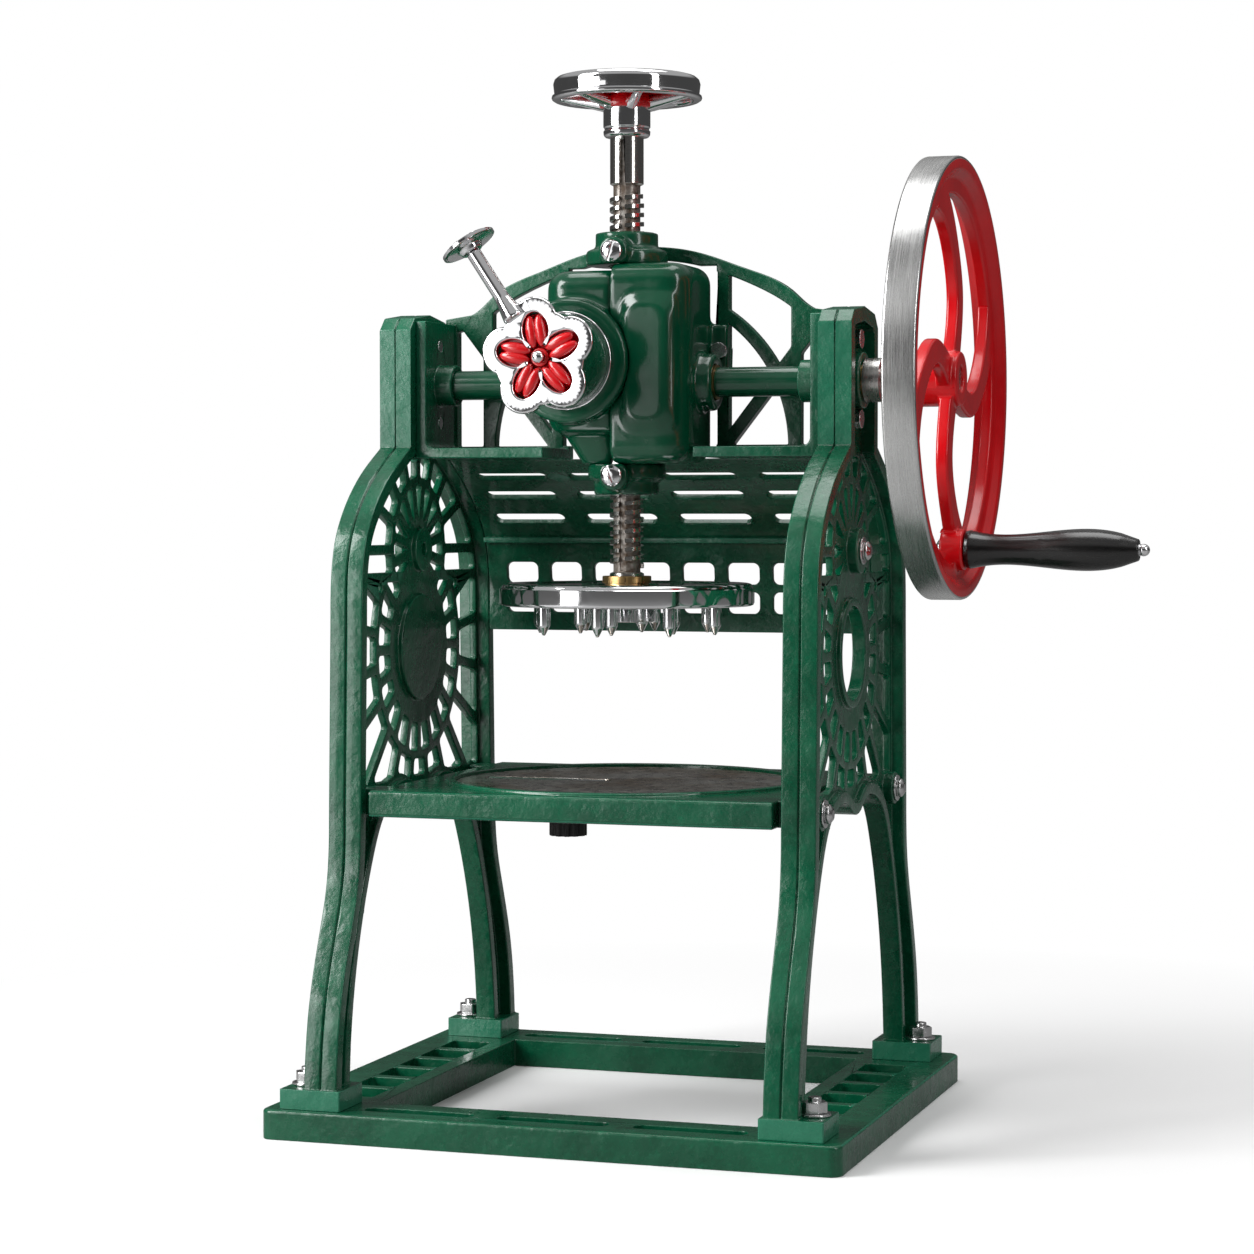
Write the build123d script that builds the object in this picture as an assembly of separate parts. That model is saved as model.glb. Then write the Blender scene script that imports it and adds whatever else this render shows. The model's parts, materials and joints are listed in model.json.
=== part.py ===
"""Table-top ice shaver: two cast side frames, a hand crank with a flywheel, and a screw-fed spindle.

Millimetres, +Z up. Everything is drawn about the spindle's axis and then moved, so that the origin is under
the middle of the whole machine, crank handle included. +X is the crank side, -Y the front.
"""
import os
from math import atan2, cos, degrees, hypot, pi, radians, sin, tan

from build123d import *

# ---------------------------------------------------------------- driving dimensions (mm)
# Base
base_width = 280.0
base_depth = 252.0
base_thick = 14.0
base_corner = 6.0
base_edge = 1.6
side_bar = 47.0
end_bar = 33.0
side_window_count = 6
side_window = (21.0, 22.0)
side_window_corner = 2.5
side_window_pitch = 28.0
side_window_from_edge = 28.0
end_slot_count = 3
end_slot = (54.0, 9.0)
end_slot_pitch = 66.0

# Side frames
frame_inner = 103.0
band_width = 16.5
band_thick = 7.0
rib_width = 10.5
rib_thick = 6.0
web_thick = 7.5
parting_groove = (1.0, 0.8)
leg_foot_out = 121.5
leg_foot_in = 98.0
leg_knee_out = 99.0
leg_knee_drop = 56.0
body_half_low = 91.0
body_half_high = 88.5
shoulder_drop = 85.0
post_half = 26.5
post_height = 64.0
shoulder_height = 325.0
post_roof = 2.6
post_bevel = 6.0
post_boss_wall = 5.0
screw_boss_wall = 1.5
arch_crest_half = 28.0
arch_drop = 5.5
arch_pendant = 7.5
pad_out = 12.0
pad_in = 2.0
pad_depth = 28.0
pad_height = 9.5

# Openwork of the side frames
ring_below_shoulder = 99.0
ring_hole = 22.5
ring_boss = 34.0
ring_lip = 4.0
ring_lip_proud = 3.0
fan_row_gap = 4.0
fan_inner_row = 14.0
fan_count = 20
fan_rib = 5.0
cell_corners = (2.2, 1.2)
crown_below_shoulder = 50.0
crown_boss = 11.0
crown_row = 17.0
crown_count = 16
belt_width = 5.0
lattice_margin = 2.5
smallest_cell = 30.0
arch_apron = 6.0

# Table, wear plate and blade
table_below_shoulder = 163.3
table_thick = 12.5
table_depth = 182.0
table_side_gap = 4.0
table_lip = (4.5, 1.6)
table_lug = 16.0
table_screw_y = 72.0
table_screw_drop = 6.2
table_edge_round = 2.0
wear_radius = 84.0
wear_thick = 3.0
wear_ledge = 6.0
seat_gap = 0.3
slot_start = 8.0
slot_length = 66.0
slot_width = 13.0
blade_thick = 2.2
blade_depth = 26.0
blade_angle = 24.0
blade_proud = 0.6
blade_travel_down = 1.2
blade_travel_up = 0.3
bridge_width = 18.0
bridge_offset = 21.0
bridge_thick = 8.0
carrier_thick = 9.0
carrier_half = 25.0
wedge_inset = 1.0
guide_pin_radius = 3.0
guide_pin_inset = 8.0
pin_cover = 1.0
adjuster_radius = 9.5
adjuster_height = 9.0
adjuster_stem = 4.0
adjuster_flute = (1.5, 0.7)
adjuster_flutes = 12
blade_screw_head = (3.6, 2.4)
blade_screw_shank = (1.8, 7.0)
blade_screw_back = 19.0
blade_screw_inset = 13.0
blade_bevel = 32.0
blade_edge_inset = 2.4
wedge_front = 9.0

# Upper yoke between the posts
yoke_flange = 5.5
yoke_front = 20.0
yoke_back = 26.0
yoke_wall = 6.0
yoke_shelf = 5.0
yoke_shelf_drop = 5.0
yoke_fillet = 8.0
yoke_top_margin = 1.5
arch_rise = 34.0
arch_band = 6.5
arch_start = 14.0
yoke_rib = 6.0
yoke_strip_x = 43.0
yoke_upright_x = 80.0
yoke_boss = 10.2
yoke_boss_length = 9.0

# Back guard
guard_thick = 3.5
guard_inset = 3.0
guard_bottom_below_shoulder = 93.0
guard_slot = (38.0, 6.5)
guard_slot_pitch = 50.0
guard_columns = 4
guard_row_y = (41.0, 55.5, 69.0)
guard_window = (17.0, 11.0)
guard_window_corner = 3.2
guard_window_pitch = 24.0
guard_window_columns = 8
guard_window_rows = (63.0, 78.0)
guard_bead = 3.0
guard_bead_below_shoulder = 46.0

# Gear housing
shaft_above_shoulder = 31.3
housing_right = 38.3
housing_left = 35.5
housing_front = 28.0
housing_back = 25.5
housing_bottom = 39.5
housing_top = 57.0
housing_corner = 13.0
housing_crown = 9.0
cheek_bulge = 3.0
left_lobe_lower = 14.0
wall_clearance = 1.2
boss_flange = (14.0, 8.0)
top_flange = (20.0, 8.0)
top_collar = (15.3, 8.0)
bottom_flange = (19.0, 7.6)
bottom_collar = (16.0, 7.4)
ear_radius = 7.5
ear_front = 23.0
cap_screw_head = (5.35, 3.2)
cap_screw_shank = (2.5, 9.0)
lug_rise = 16.0
lug_height = 26.0
lug_shank = 2.5
lug_thick = 5.5
lug_out = 7.0
lug_screw_head = (4.0, 3.0)

# Bevel gears
bevel_module = 2.0
gear_teeth = 20
pinion_teeth = 10
bevel_face = 7.0
tooth_addendum = 1.35
tooth_dedendum = 2.0
tooth_backlash = 0.62
pressure_angle = 20.0
gear_back = 4.0
pinion_back = 6.0
pinion_bore = 4.0
running_gap = 0.05

# Spindle and what it carries
spindle_radius = 8.4
thread_pitch = 4.5
keyway = (3.0, 2.5)
key_clearance = 0.08
key_length = 20.0
sleeve_wall = 3.6
spindle_top_reduction = 2.4
hub_gap_above_collar = 46.5
handwheel_radius = 36.7
handwheel_rim = 11.5
handwheel_rim_thick = 4.5
handwheel_hub = (11.5, 20.0)
handwheel_web = 3.0
handwheel_rise = 17.7
handwheel_ribs = 6
handwheel_rib_thick = 2.6
handwheel_nut = (9.5, 5.5)
plate_below_collar = 43.0
plate_radius = 62.5
plate_thick = 11.0
plate_chamfer = 0.8
plate_collar = (12.0, 3.5)
plate_nut = (12.0, 8.0)
spike_radius = 3.2
spike_length = 14.0
spike_point = 5.0
spike_tip = 0.6
spike_rings = ((8, 45.0), (4, 24.0))

# Feed wheel and its flower lever
worm_teeth = 13
worm_addendum = 1.5
worm_dedendum = 1.5
worm_width = 12.0
worm_above_shaft = 9.7
feed_shaft_radius = 4.0
drum_flange_radius = 30.0
drum_flange_front = 34.0
drum_flange_thick = 8.0
friction_ring = (23.7, 3.4)
friction_ring_wide = 8.0
drum_radius = 22.0
drum_length = 32.0
flower_thick = 4.5
flower_lobe = (17.0, 11.5)
flower_core = 22.5
petal_centre = 12.6
petal_half = (8.6, 6.2)
petal_heart = 6.0
petal_inset = 1.4
flower_turn = 26.0
insert_radius = 20.6
insert_thick = 4.0
insert_boss = (4.4, 2.6)
insert_dish = 1.6
pin_radius = 2.4
pin_root = 6.0
lever_angle = 123.7
lever_radius = 3.55
lever_root_radius = 5.6
lever_root_length = 12.0
lever_length = 60.0
lever_knob = (13.8, 5.6)
lever_neck = (5.2, 3.0)

# Crank shaft, tube and bushes
shaft_radius = 6.0
tube_radius = 7.2
stay_spigot = (4.5, 3.5)
bush_wall = 2.5
bush_proud = 0.5
bush_fit = 0.02
shaft_collar = (10.5, 8.0)
collar_gap = 0.3

# Flywheel and handle
wheel_face = 167.5
wheel_radius = 104.4
wheel_rim = 15.6
wheel_rim_thick = 6.0
wheel_ring_inner = 87.0
wheel_web = 6.0
wheel_web_recess = 4.0
wheel_slope = 4.0
hub_radius = 13.0
hub_inner_length = 12.0
hub_front = 3.0
shaft_end_inset = 1.5
spoke_count = 4
spoke_hub_half = 7.5
spoke_waist_half = 6.0
spoke_rim_half = 8.5
spoke_bulge = 11.0
spoke_sweep = 24.0
handle_orbit = 80.7
handle_turn = 3.5
handle_boss = 10.0
handle_length = 82.0
handle_profile = ((0.0, 8.6), (2.5, 9.2), (22.0, 7.2), (58.0, 9.9), (74.0, 7.8), (82.0, 5.0))
handle_gap = 0.3
stud_radius = 3.0
stud_head = (5.3, 3.2)
tip_radius = 2.9
tip_rise = 1.6

# Fasteners
foot_washer = (7.4, 1.4)
foot_nut = (5.2, 5.0)
foot_stud = 3.0
foot_stud_proud = 2.2
foot_washer_margin = 0.6
screw_washer = (6.6, 1.2)
screw_head = (4.6, 3.4)
screw_shank = 3.0
yoke_bolt_head = (4.6, 3.2)
yoke_bolt_rise = (13.0, 51.0)
shank_clearance = 0.1

# ---------------------------------------------------------------- worked out from the above
frame_outer = frame_inner + band_width
frame_mid = frame_inner + band_width / 2
web_outer = frame_mid + web_thick / 2
web_inner = frame_mid - web_thick / 2
post_top = shoulder_height + post_height
ring_z = shoulder_height - ring_below_shoulder
crown_z = shoulder_height - crown_below_shoulder
table_top = shoulder_height - table_below_shoulder
table_bottom = table_top - table_thick
arch_crest = table_bottom + rib_thick + 0.8
table_half = frame_inner - table_side_gap
screw_z = table_top - table_screw_drop
shaft_z = shoulder_height + shaft_above_shoulder
housing_low = shaft_z - housing_bottom
housing_high = shaft_z + housing_top
collar_top = housing_high + top_flange[1] + top_collar[1]
collar_low = housing_low - bottom_flange[1] - bottom_collar[1]
plate_top = collar_low - plate_below_collar
hub_low = collar_top + hub_gap_above_collar
worm_pitch_radius = worm_teeth * thread_pitch / (2 * pi)
worm_tip = worm_pitch_radius + worm_addendum
feed_x = -(spindle_radius + seat_gap + worm_tip)
feed_z = shaft_z + worm_above_shaft
gear_radius = gear_teeth * bevel_module / 2
pinion_radius = pinion_teeth * bevel_module / 2
gear_cone = atan2(gear_radius, pinion_radius)
pinion_cone = pi / 2 - gear_cone
cone_distance = hypot(gear_radius, pinion_radius)
inner_scale = (cone_distance - bevel_face) / cone_distance
shaft_shoulder = gear_radius + tooth_dedendum * sin(pinion_cone) + pinion_back
sleeve_radius = spindle_radius + sleeve_wall
handle_y = handle_orbit * sin(radians(handle_turn))
handle_z = shaft_z - handle_orbit * cos(radians(handle_turn))
pad_x = frame_outer + pad_out
pad_y = leg_foot_out + 0.5
foot_bolt_x = pad_x - foot_washer[0] - foot_washer_margin
foot_bolt_y = pad_y - band_thick - foot_washer[0] - foot_washer_margin
yoke_half = frame_inner
handle_start = wheel_face + handle_gap
handle_end = handle_start + handle_length + handle_gap
centre_x = (handle_end + tip_radius * tip_rise - base_width / 2) / 2
yoke_low = shoulder_height - yoke_shelf_drop


# ---------------------------------------------------------------- helpers
def block(x0, x1, y0, y1, z0, z1):
    """A box given by its limits."""
    return Pos((x0 + x1) / 2, (y0 + y1) / 2, (z0 + z1) / 2) * Box(x1 - x0, y1 - y0, z1 - z0)


def round_x(radius, x0, x1, y=0.0, z=0.0):
    """A cylinder along X."""
    return Pos((x0 + x1) / 2, y, z) * Rot(0, 90, 0) * Cylinder(radius, x1 - x0)


def round_y(radius, y0, y1, x=0.0, z=0.0):
    """A cylinder along Y."""
    return Pos(x, (y0 + y1) / 2, z) * Rot(90, 0, 0) * Cylinder(radius, y1 - y0)


def round_z(radius, z0, z1, x=0.0, y=0.0):
    """A cylinder along Z."""
    return Pos(x, y, (z0 + z1) / 2) * Cylinder(radius, z1 - z0)


def hex_z(apothem, z0, z1, x=0.0, y=0.0):
    """A hexagonal prism along Z."""
    return Pos(x, y, z0) * extrude(RegularPolygon(apothem, 6, major_radius=False), z1 - z0)


def slab_x(face, x0, x1):
    """Extrude a face drawn in (Y, Z) from x0 to x1."""
    return extrude(Plane.YZ.offset(x0) * face, x1 - x0)


def slab_y(face, y0, y1):
    """Extrude a face drawn in (X, Z) from y0 to y1."""
    return extrude(Plane.XZ.offset(-y0) * face, -(y1 - y0))


def turned_x(points, x=0.0, y=0.0, z=0.0):
    """Revolve a closed profile of (along X, radius) points about an axis along X."""
    face = make_face(Polyline(*points, close=True))
    return Pos(x, y, z) * revolve(Plane.XY * face, Axis.X)


def turned_z(points, x=0.0, y=0.0):
    """Revolve a closed profile of (radius, height) points about an axis along Z."""
    face = make_face(Polyline(*points, close=True))
    return Pos(x, y, 0) * revolve(Plane.XZ * face, Axis.Z)


def both_sides(curves):
    """Close a half outline with its mirror image about the vertical axis."""
    other = [mirror(curve, Plane.YZ) for curve in curves]
    return make_face(curves + other)


def joined(pieces):
    """Fuse a list of solids into one part."""
    whole = pieces[0]
    for piece in pieces[1:]:
        whole = whole + piece
    return whole


def group(pieces):
    """Keep separate solids together in one node."""
    return Compound(children=[piece.solid() if len(piece.solids()) == 1 else piece for piece in pieces])


# ---------------------------------------------------------------- base
def base_plate():
    plate = extrude(RectangleRounded(base_width, base_depth, base_corner), base_thick)
    plate = fillet(plate.faces().sort_by(Axis.Z)[-1].outer_wire().edges(), base_edge)
    bay = Rectangle(base_width - 2 * side_bar, base_depth - 2 * end_bar)
    plate = plate - extrude(bay, base_thick)
    windows = []
    for side in (-1, 1):
        x = side * (base_width / 2 - side_window_from_edge)
        windows += [Pos(x, y) * RectangleRounded(*side_window, side_window_corner)
                    for y in spread(side_window_count, side_window_pitch)]
        y = side * (base_depth / 2 - end_bar / 2)
        windows += [Pos(x, y) * SlotOverall(*end_slot) for x in spread(end_slot_count, end_slot_pitch)]
    plate = plate - extrude(Sketch() + windows, base_thick)
    for x, y in foot_places():
        plate = plate - round_z(foot_stud + shank_clearance, 0, base_thick, x, y)
    return plate


def spread(count, pitch):
    """Positions of a row centred on zero."""
    return [(i - (count - 1) / 2) * pitch for i in range(count)]


def foot_places():
    """The four foot bolts."""
    return [(sx * foot_bolt_x, sy * foot_bolt_y) for sx in (-1, 1) for sy in (-1, 1)]


# ---------------------------------------------------------------- side frames
def frame_outline(arched, inset=0.0, rib=0.0):
    """The side frame's outline in (Y, Z), drawn in by inset, and with its arch widened by rib."""
    low = base_thick
    leg_end = (body_half_low - inset, table_bottom)
    knee = (leg_knee_out - inset * 0.97, table_bottom - leg_knee_drop + 10 + inset * 0.1)
    shin = (leg_foot_out - 7.5 - inset, low + 52)
    foot_out = (leg_foot_out - inset, low)
    leg = Spline(foot_out, shin, knee, leg_end, tangents=((-0.05, 1), (0, 1)))
    body_end = (body_half_high - inset, shoulder_height - shoulder_drop)
    side = Line(leg_end, body_end)
    swell = (body_half_high - 8.5 - inset * 0.92, shoulder_height - 40 - inset * 0.38)
    turn = (body_half_high - 31.5 - inset * 0.6, shoulder_height - 17 - inset * 0.8)
    foot_of_post = (post_half - inset, shoulder_height - inset * 0.45)
    shoulder = Spline(body_end, swell, turn, foot_of_post, tangents=((0, 1), (-1, 0.5)))
    eave = (post_half - inset, post_top - post_bevel - inset * 0.4)
    post = Line(foot_of_post, eave)
    ridge = (post_half - post_bevel - inset * 0.4, post_top - inset)
    bevel = Line(eave, ridge)
    roof = Line(ridge, (0, post_top + post_roof - inset))
    curves = [leg, side, shoulder, post, bevel, roof]
    if not arched:
        return both_sides(curves + [Line(foot_out, (0, low))])
    foot = Line(foot_out, (leg_foot_in + rib, low))
    crest = (arch_crest_half, arch_crest + rib)
    arch_shin = (leg_foot_in - 4 + rib, low + 38)
    arch_knee = (leg_foot_in - 14.5 + rib * 0.97, low + 78 + rib * 0.15)
    arch_turn = (arch_crest_half + 38 + rib * 0.75, arch_crest - 26 + rib * 0.65)
    arch = Spline((leg_foot_in + rib, low), arch_shin, arch_knee, arch_turn, crest,
                  tangents=((-0.05, 1), (-1, 0.08)))
    dip = (arch_crest_half / 2, arch_crest - arch_drop / 2 + rib)
    ogee = Spline(crest, dip, (0, arch_crest - arch_pendant + rib), tangents=((-1, 0.08), (-1, 0)))
    return both_sides(curves + [foot, arch, ogee])


def polar_cells(centre, inner, outer, count, turn):
    """Ring sectors between radial ribs of one width."""
    ring = Circle(outer) - Circle(inner)
    ribs = [Rot(0, 0, turn + i * 360 / count) * Pos(outer / 2, 0) * Rectangle(outer, fan_rib)
            for i in range(count)]
    return Pos(*centre) * (ring - ribs)


def lattice():
    """The openwork between the band, the ring and the crown boss."""
    reach = body_half_low * 2
    field = frame_outline(True, band_thick + lattice_margin, rib_thick + lattice_margin)
    apron = arch_crest + arch_apron
    belt = crown_z - crown_boss - belt_width
    ring = (0, ring_z)
    crown = (0, crown_z)
    first = ring_boss + fan_row_gap
    second = first + fan_inner_row
    pitch = 360 / fan_count
    rows = polar_cells(ring, first, second, fan_count, 0)
    rows = rows + polar_cells(ring, second + fan_row_gap, reach, fan_count, pitch / 2)
    lower = Pos(0, (apron + belt) / 2) * Rectangle(2 * reach, belt - apron)
    petals_in = crown_boss + fan_row_gap
    petals_out = petals_in + crown_row
    petals = polar_cells(crown, petals_in, petals_out, crown_count, 180 / crown_count)
    petals = petals + polar_cells(crown, petals_out + fan_row_gap, reach, crown_count, 0)
    upper_low = belt + belt_width
    upper_high = shoulder_height - 5
    upper = Pos(0, (upper_low + upper_high) / 2) * Rectangle(2 * reach, upper_high - upper_low)
    cells = (rows & lower & field).faces() + (petals & upper & field).faces()
    return [softened(cell) for cell in cells if cell.area > smallest_cell]


def softened(cell):
    """A cell of the openwork with its corners rounded, as far as each corner has room."""
    for corner in cell_corners:
        for place in [vertex.center() for vertex in cell.vertices()]:
            near = [vertex for vertex in cell.vertices() if (vertex.center() - place).length < 0.01]
            try:
                cell = cell.fillet_2d(corner, near)
            except Exception:
                continue
    return cell


def side_frame():
    """One casting on the crank side, its centre ring still blank."""
    shape = frame_outline(True)
    inside = frame_outline(True, band_thick)
    band = slab_x(shape - inside, frame_inner, frame_outer)
    groove_width, groove_depth = parting_groove
    rim = frame_outline(False) - frame_outline(False, groove_depth)
    band = band - slab_x(rim, frame_mid - groove_width / 2, frame_mid + groove_width / 2)
    rim = inside - frame_outline(True, band_thick, rib_thick)
    rib = slab_x(rim, frame_mid - rib_width / 2, frame_mid + rib_width / 2)
    web = slab_x(inside, web_inner, web_outer)
    web = web - slab_x(Sketch() + lattice(), web_inner, web_outer)
    frame = band + rib + web
    lip_out = ring_hole + ring_lip
    frame = frame + round_x(lip_out, web_inner - ring_lip_proud, web_outer + ring_lip_proud, 0, ring_z)
    boss_face = frame_outer - screw_washer[1]
    frame = frame + round_x(crown_boss, web_inner - 1, boss_face, 0, crown_z)
    frame = frame - round_x(screw_shank + shank_clearance, frame_inner, frame_outer, 0, crown_z)
    bush_radius = shaft_radius + bush_wall
    frame = frame + round_x(bush_radius + post_boss_wall, frame_inner, frame_outer, 0, shaft_z)
    frame = frame - round_x(bush_radius, frame_inner - 1, frame_outer + 1, 0, shaft_z)
    for side in (-1, 1):
        y = side * table_screw_y
        frame = frame + round_x(screw_washer[0] + screw_boss_wall, web_inner, boss_face, y, screw_z)
        frame = frame - round_x(screw_shank + shank_clearance, frame_inner, frame_outer, y, screw_z)
        y0, y1 = sorted((side * (pad_y - pad_depth), side * pad_y))
        frame = frame + block(frame_inner - pad_in, pad_x, y0, y1, base_thick, base_thick + pad_height)
        frame = frame - round_z(foot_stud + shank_clearance, 0, shaft_z / 4, foot_bolt_x, side * foot_bolt_y)
    for rise in yoke_bolt_rise:
        z = shoulder_height + rise
        frame = frame - round_x(screw_shank + shank_clearance, frame_inner, frame_outer, 0, z)
    return frame


def side_frames():
    casting = side_frame()
    right = casting - round_x(ring_hole, frame_inner, frame_outer, 0, ring_z)
    return {"right_side_frame": right, "left_side_frame": mirror(casting, Plane.YZ)}


# ---------------------------------------------------------------- table, wear plate and blade
def shaving_table():
    half_y = table_depth / 2
    table = block(-table_half, table_half, -half_y, half_y, table_bottom, table_top)
    table = fillet(table.edges().filter_by(Axis.X), table_edge_round)
    lip_thick, lip_height = table_lip
    lip = wear_radius + seat_gap
    table = table + round_z(lip + lip_thick, table_bottom, table_top + lip_height)
    table = table - round_z(lip, table_top - wear_thick, table_top + lip_height)
    bridge_low = table_top - wear_thick - bridge_thick
    bay = round_z(wear_radius - wear_ledge, table_bottom, table_top)
    bar = block(-wear_radius, wear_radius, bridge_offset, bridge_offset + bridge_width,
                bridge_low, table_top - wear_thick)
    table = table - (bay - bar)
    table = table - round_z(adjuster_stem + running_gap, 0, table_top, slot_centre(), bar_middle())
    for x in pin_places():
        high = table_top - wear_thick - pin_cover
        table = table - round_z(guide_pin_radius + running_gap, 0, high, x, bar_middle())
    for side in (-1, 1):
        for end in (-1, 1):
            x0, x1 = sorted((side * (table_half - 1), side * web_inner))
            y = end * table_screw_y
            lug = block(x0, x1, y - table_lug / 2, y + table_lug / 2, table_bottom, table_top)
            shank = round_x(screw_shank + shank_clearance, web_inner - 16, web_inner, y, screw_z)
            table = table + lug - (shank if side > 0 else mirror(shank, Plane.YZ))
    return table


def wear_plate():
    plate = round_z(wear_radius, table_top - wear_thick, table_top)
    slot = extrude(SlotOverall(slot_length, slot_width), wear_thick)
    return plate - Pos(slot_centre(), 0, table_top - wear_thick) * slot


def blade_low():
    """Underside of the bridge that the carrier hangs below."""
    return table_top - wear_thick - bridge_thick


def slot_centre():
    """The blade slot's middle, along X."""
    return -(slot_start + slot_length / 2)


def pin_places():
    """The two guide pins, along X."""
    reach = carrier_half - guide_pin_inset
    return (slot_centre() - reach, slot_centre() + reach)


def blade_place():
    """The frame of the leaning blade: its cutting edge is the origin, its top face z = 0."""
    return Pos(0, blade_edge_y(), table_top + blade_proud) * Rot(-blade_angle, 0, 0)


def blade_edge_y():
    """Where the cutting edge stands in the slot."""
    return -slot_width / 2 + blade_edge_inset


def blade_screw_places():
    """The two blade screws, along X."""
    reach = carrier_half - blade_screw_inset
    return (slot_centre() - reach, slot_centre() + reach)


def shaving_blade():
    """A flat plate leaning on the carrier's wedge, with its ground edge up in the slot."""
    ground = blade_thick / tan(radians(blade_bevel))
    face = make_face(Polyline((0, 0), (blade_depth, 0), (blade_depth, -blade_thick),
                              (ground, -blade_thick), close=True))
    half = slot_length / 2 - 2
    blade = blade_place() * slab_x(face, slot_centre() - half, slot_centre() + half)
    return blade - joined(blade_shanks(shank_clearance))


def blade_carrier():
    """The block under the bridge whose sloping wedge carries the blade."""
    high = blade_low() - blade_travel_up - seat_gap
    low = high - carrier_thick
    x0 = slot_centre() - carrier_half
    x1 = slot_centre() + carrier_half
    front = bridge_offset - wedge_inset
    back = bridge_offset + bridge_width
    lean = radians(blade_angle)
    edge = blade_edge_y()
    top_z = table_top + blade_proud - blade_thick / cos(lean)
    start = edge + wedge_front
    profile = make_face(Polyline((start, top_z - wedge_front * tan(lean)),
                                 (front, top_z - (front - edge) * tan(lean)),
                                 (front, high), (back, high), (back, low), (start, low), close=True))
    carrier = slab_x(profile, x0, x1)
    carrier = carrier - round_z(adjuster_stem + running_gap, 0, table_top, slot_centre(), bar_middle())
    for x in pin_places():
        carrier = carrier - round_z(guide_pin_radius, 0, table_top, x, bar_middle())
    return carrier - joined(blade_shanks(shank_clearance))


def bar_middle():
    """The bridge's centre line, along Y."""
    return bridge_offset + bridge_width / 2


def guide_pins():
    low = blade_low() - blade_travel_up - seat_gap - carrier_thick
    high = table_top - wear_thick - pin_cover - blade_travel_up - seat_gap
    return group([round_z(guide_pin_radius, low, high, x, bar_middle()) for x in pin_places()])


def blade_shanks(extra):
    """The shanks of the two screws through the blade, square to it."""
    radius, length = blade_screw_shank
    return [blade_place() * round_z(radius + extra, -blade_thick - length, 0, x, blade_screw_back)
            for x in blade_screw_places()]


def blade_screws():
    head, thick = blade_screw_head
    heads = [blade_place() * round_z(head, 0, thick, x, blade_screw_back) for x in blade_screw_places()]
    return group([one + shank for one, shank in zip(heads, blade_shanks(0))])


def blade_adjuster():
    """The knurled thumb nut under the carrier and its stem up to the bridge."""
    high = blade_low() - blade_travel_up - 2 * seat_gap - carrier_thick - blade_travel_down
    low = high - adjuster_height
    x, y = slot_centre(), bar_middle()
    knob = round_z(adjuster_radius, low, high, x, y)
    flute, away = adjuster_flute
    flutes = [Rot(0, 0, i * 360 / adjuster_flutes) * Pos(adjuster_radius + away, 0) * Circle(flute)
              for i in range(adjuster_flutes)]
    knob = knob - Pos(x, y, low) * extrude(Sketch() + flutes, adjuster_height)
    return knob + round_z(adjuster_stem, high, table_top - wear_thick - seat_gap, x, y)


# ---------------------------------------------------------------- upper yoke and back guard
def yoke_wall_face(inset=0.0):
    """The back wall's outline in (X, Z): a low arch over the posts."""
    top = post_top + yoke_top_margin - inset
    start = yoke_half - arch_start
    edge = yoke_half - inset
    low = yoke_low + inset
    half = [Line((0, low), (edge, low)), Line((edge, low), (edge, top)), Line((edge, top), (start, top + 2)),
            Spline((start, top + 2), (start - 12 - inset * 0.4, top + 11.5), (start - 37, top + 23),
                   (0, top + arch_rise), tangents=((-1, 0.45), (-1, 0)))]
    return both_sides(half)


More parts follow.
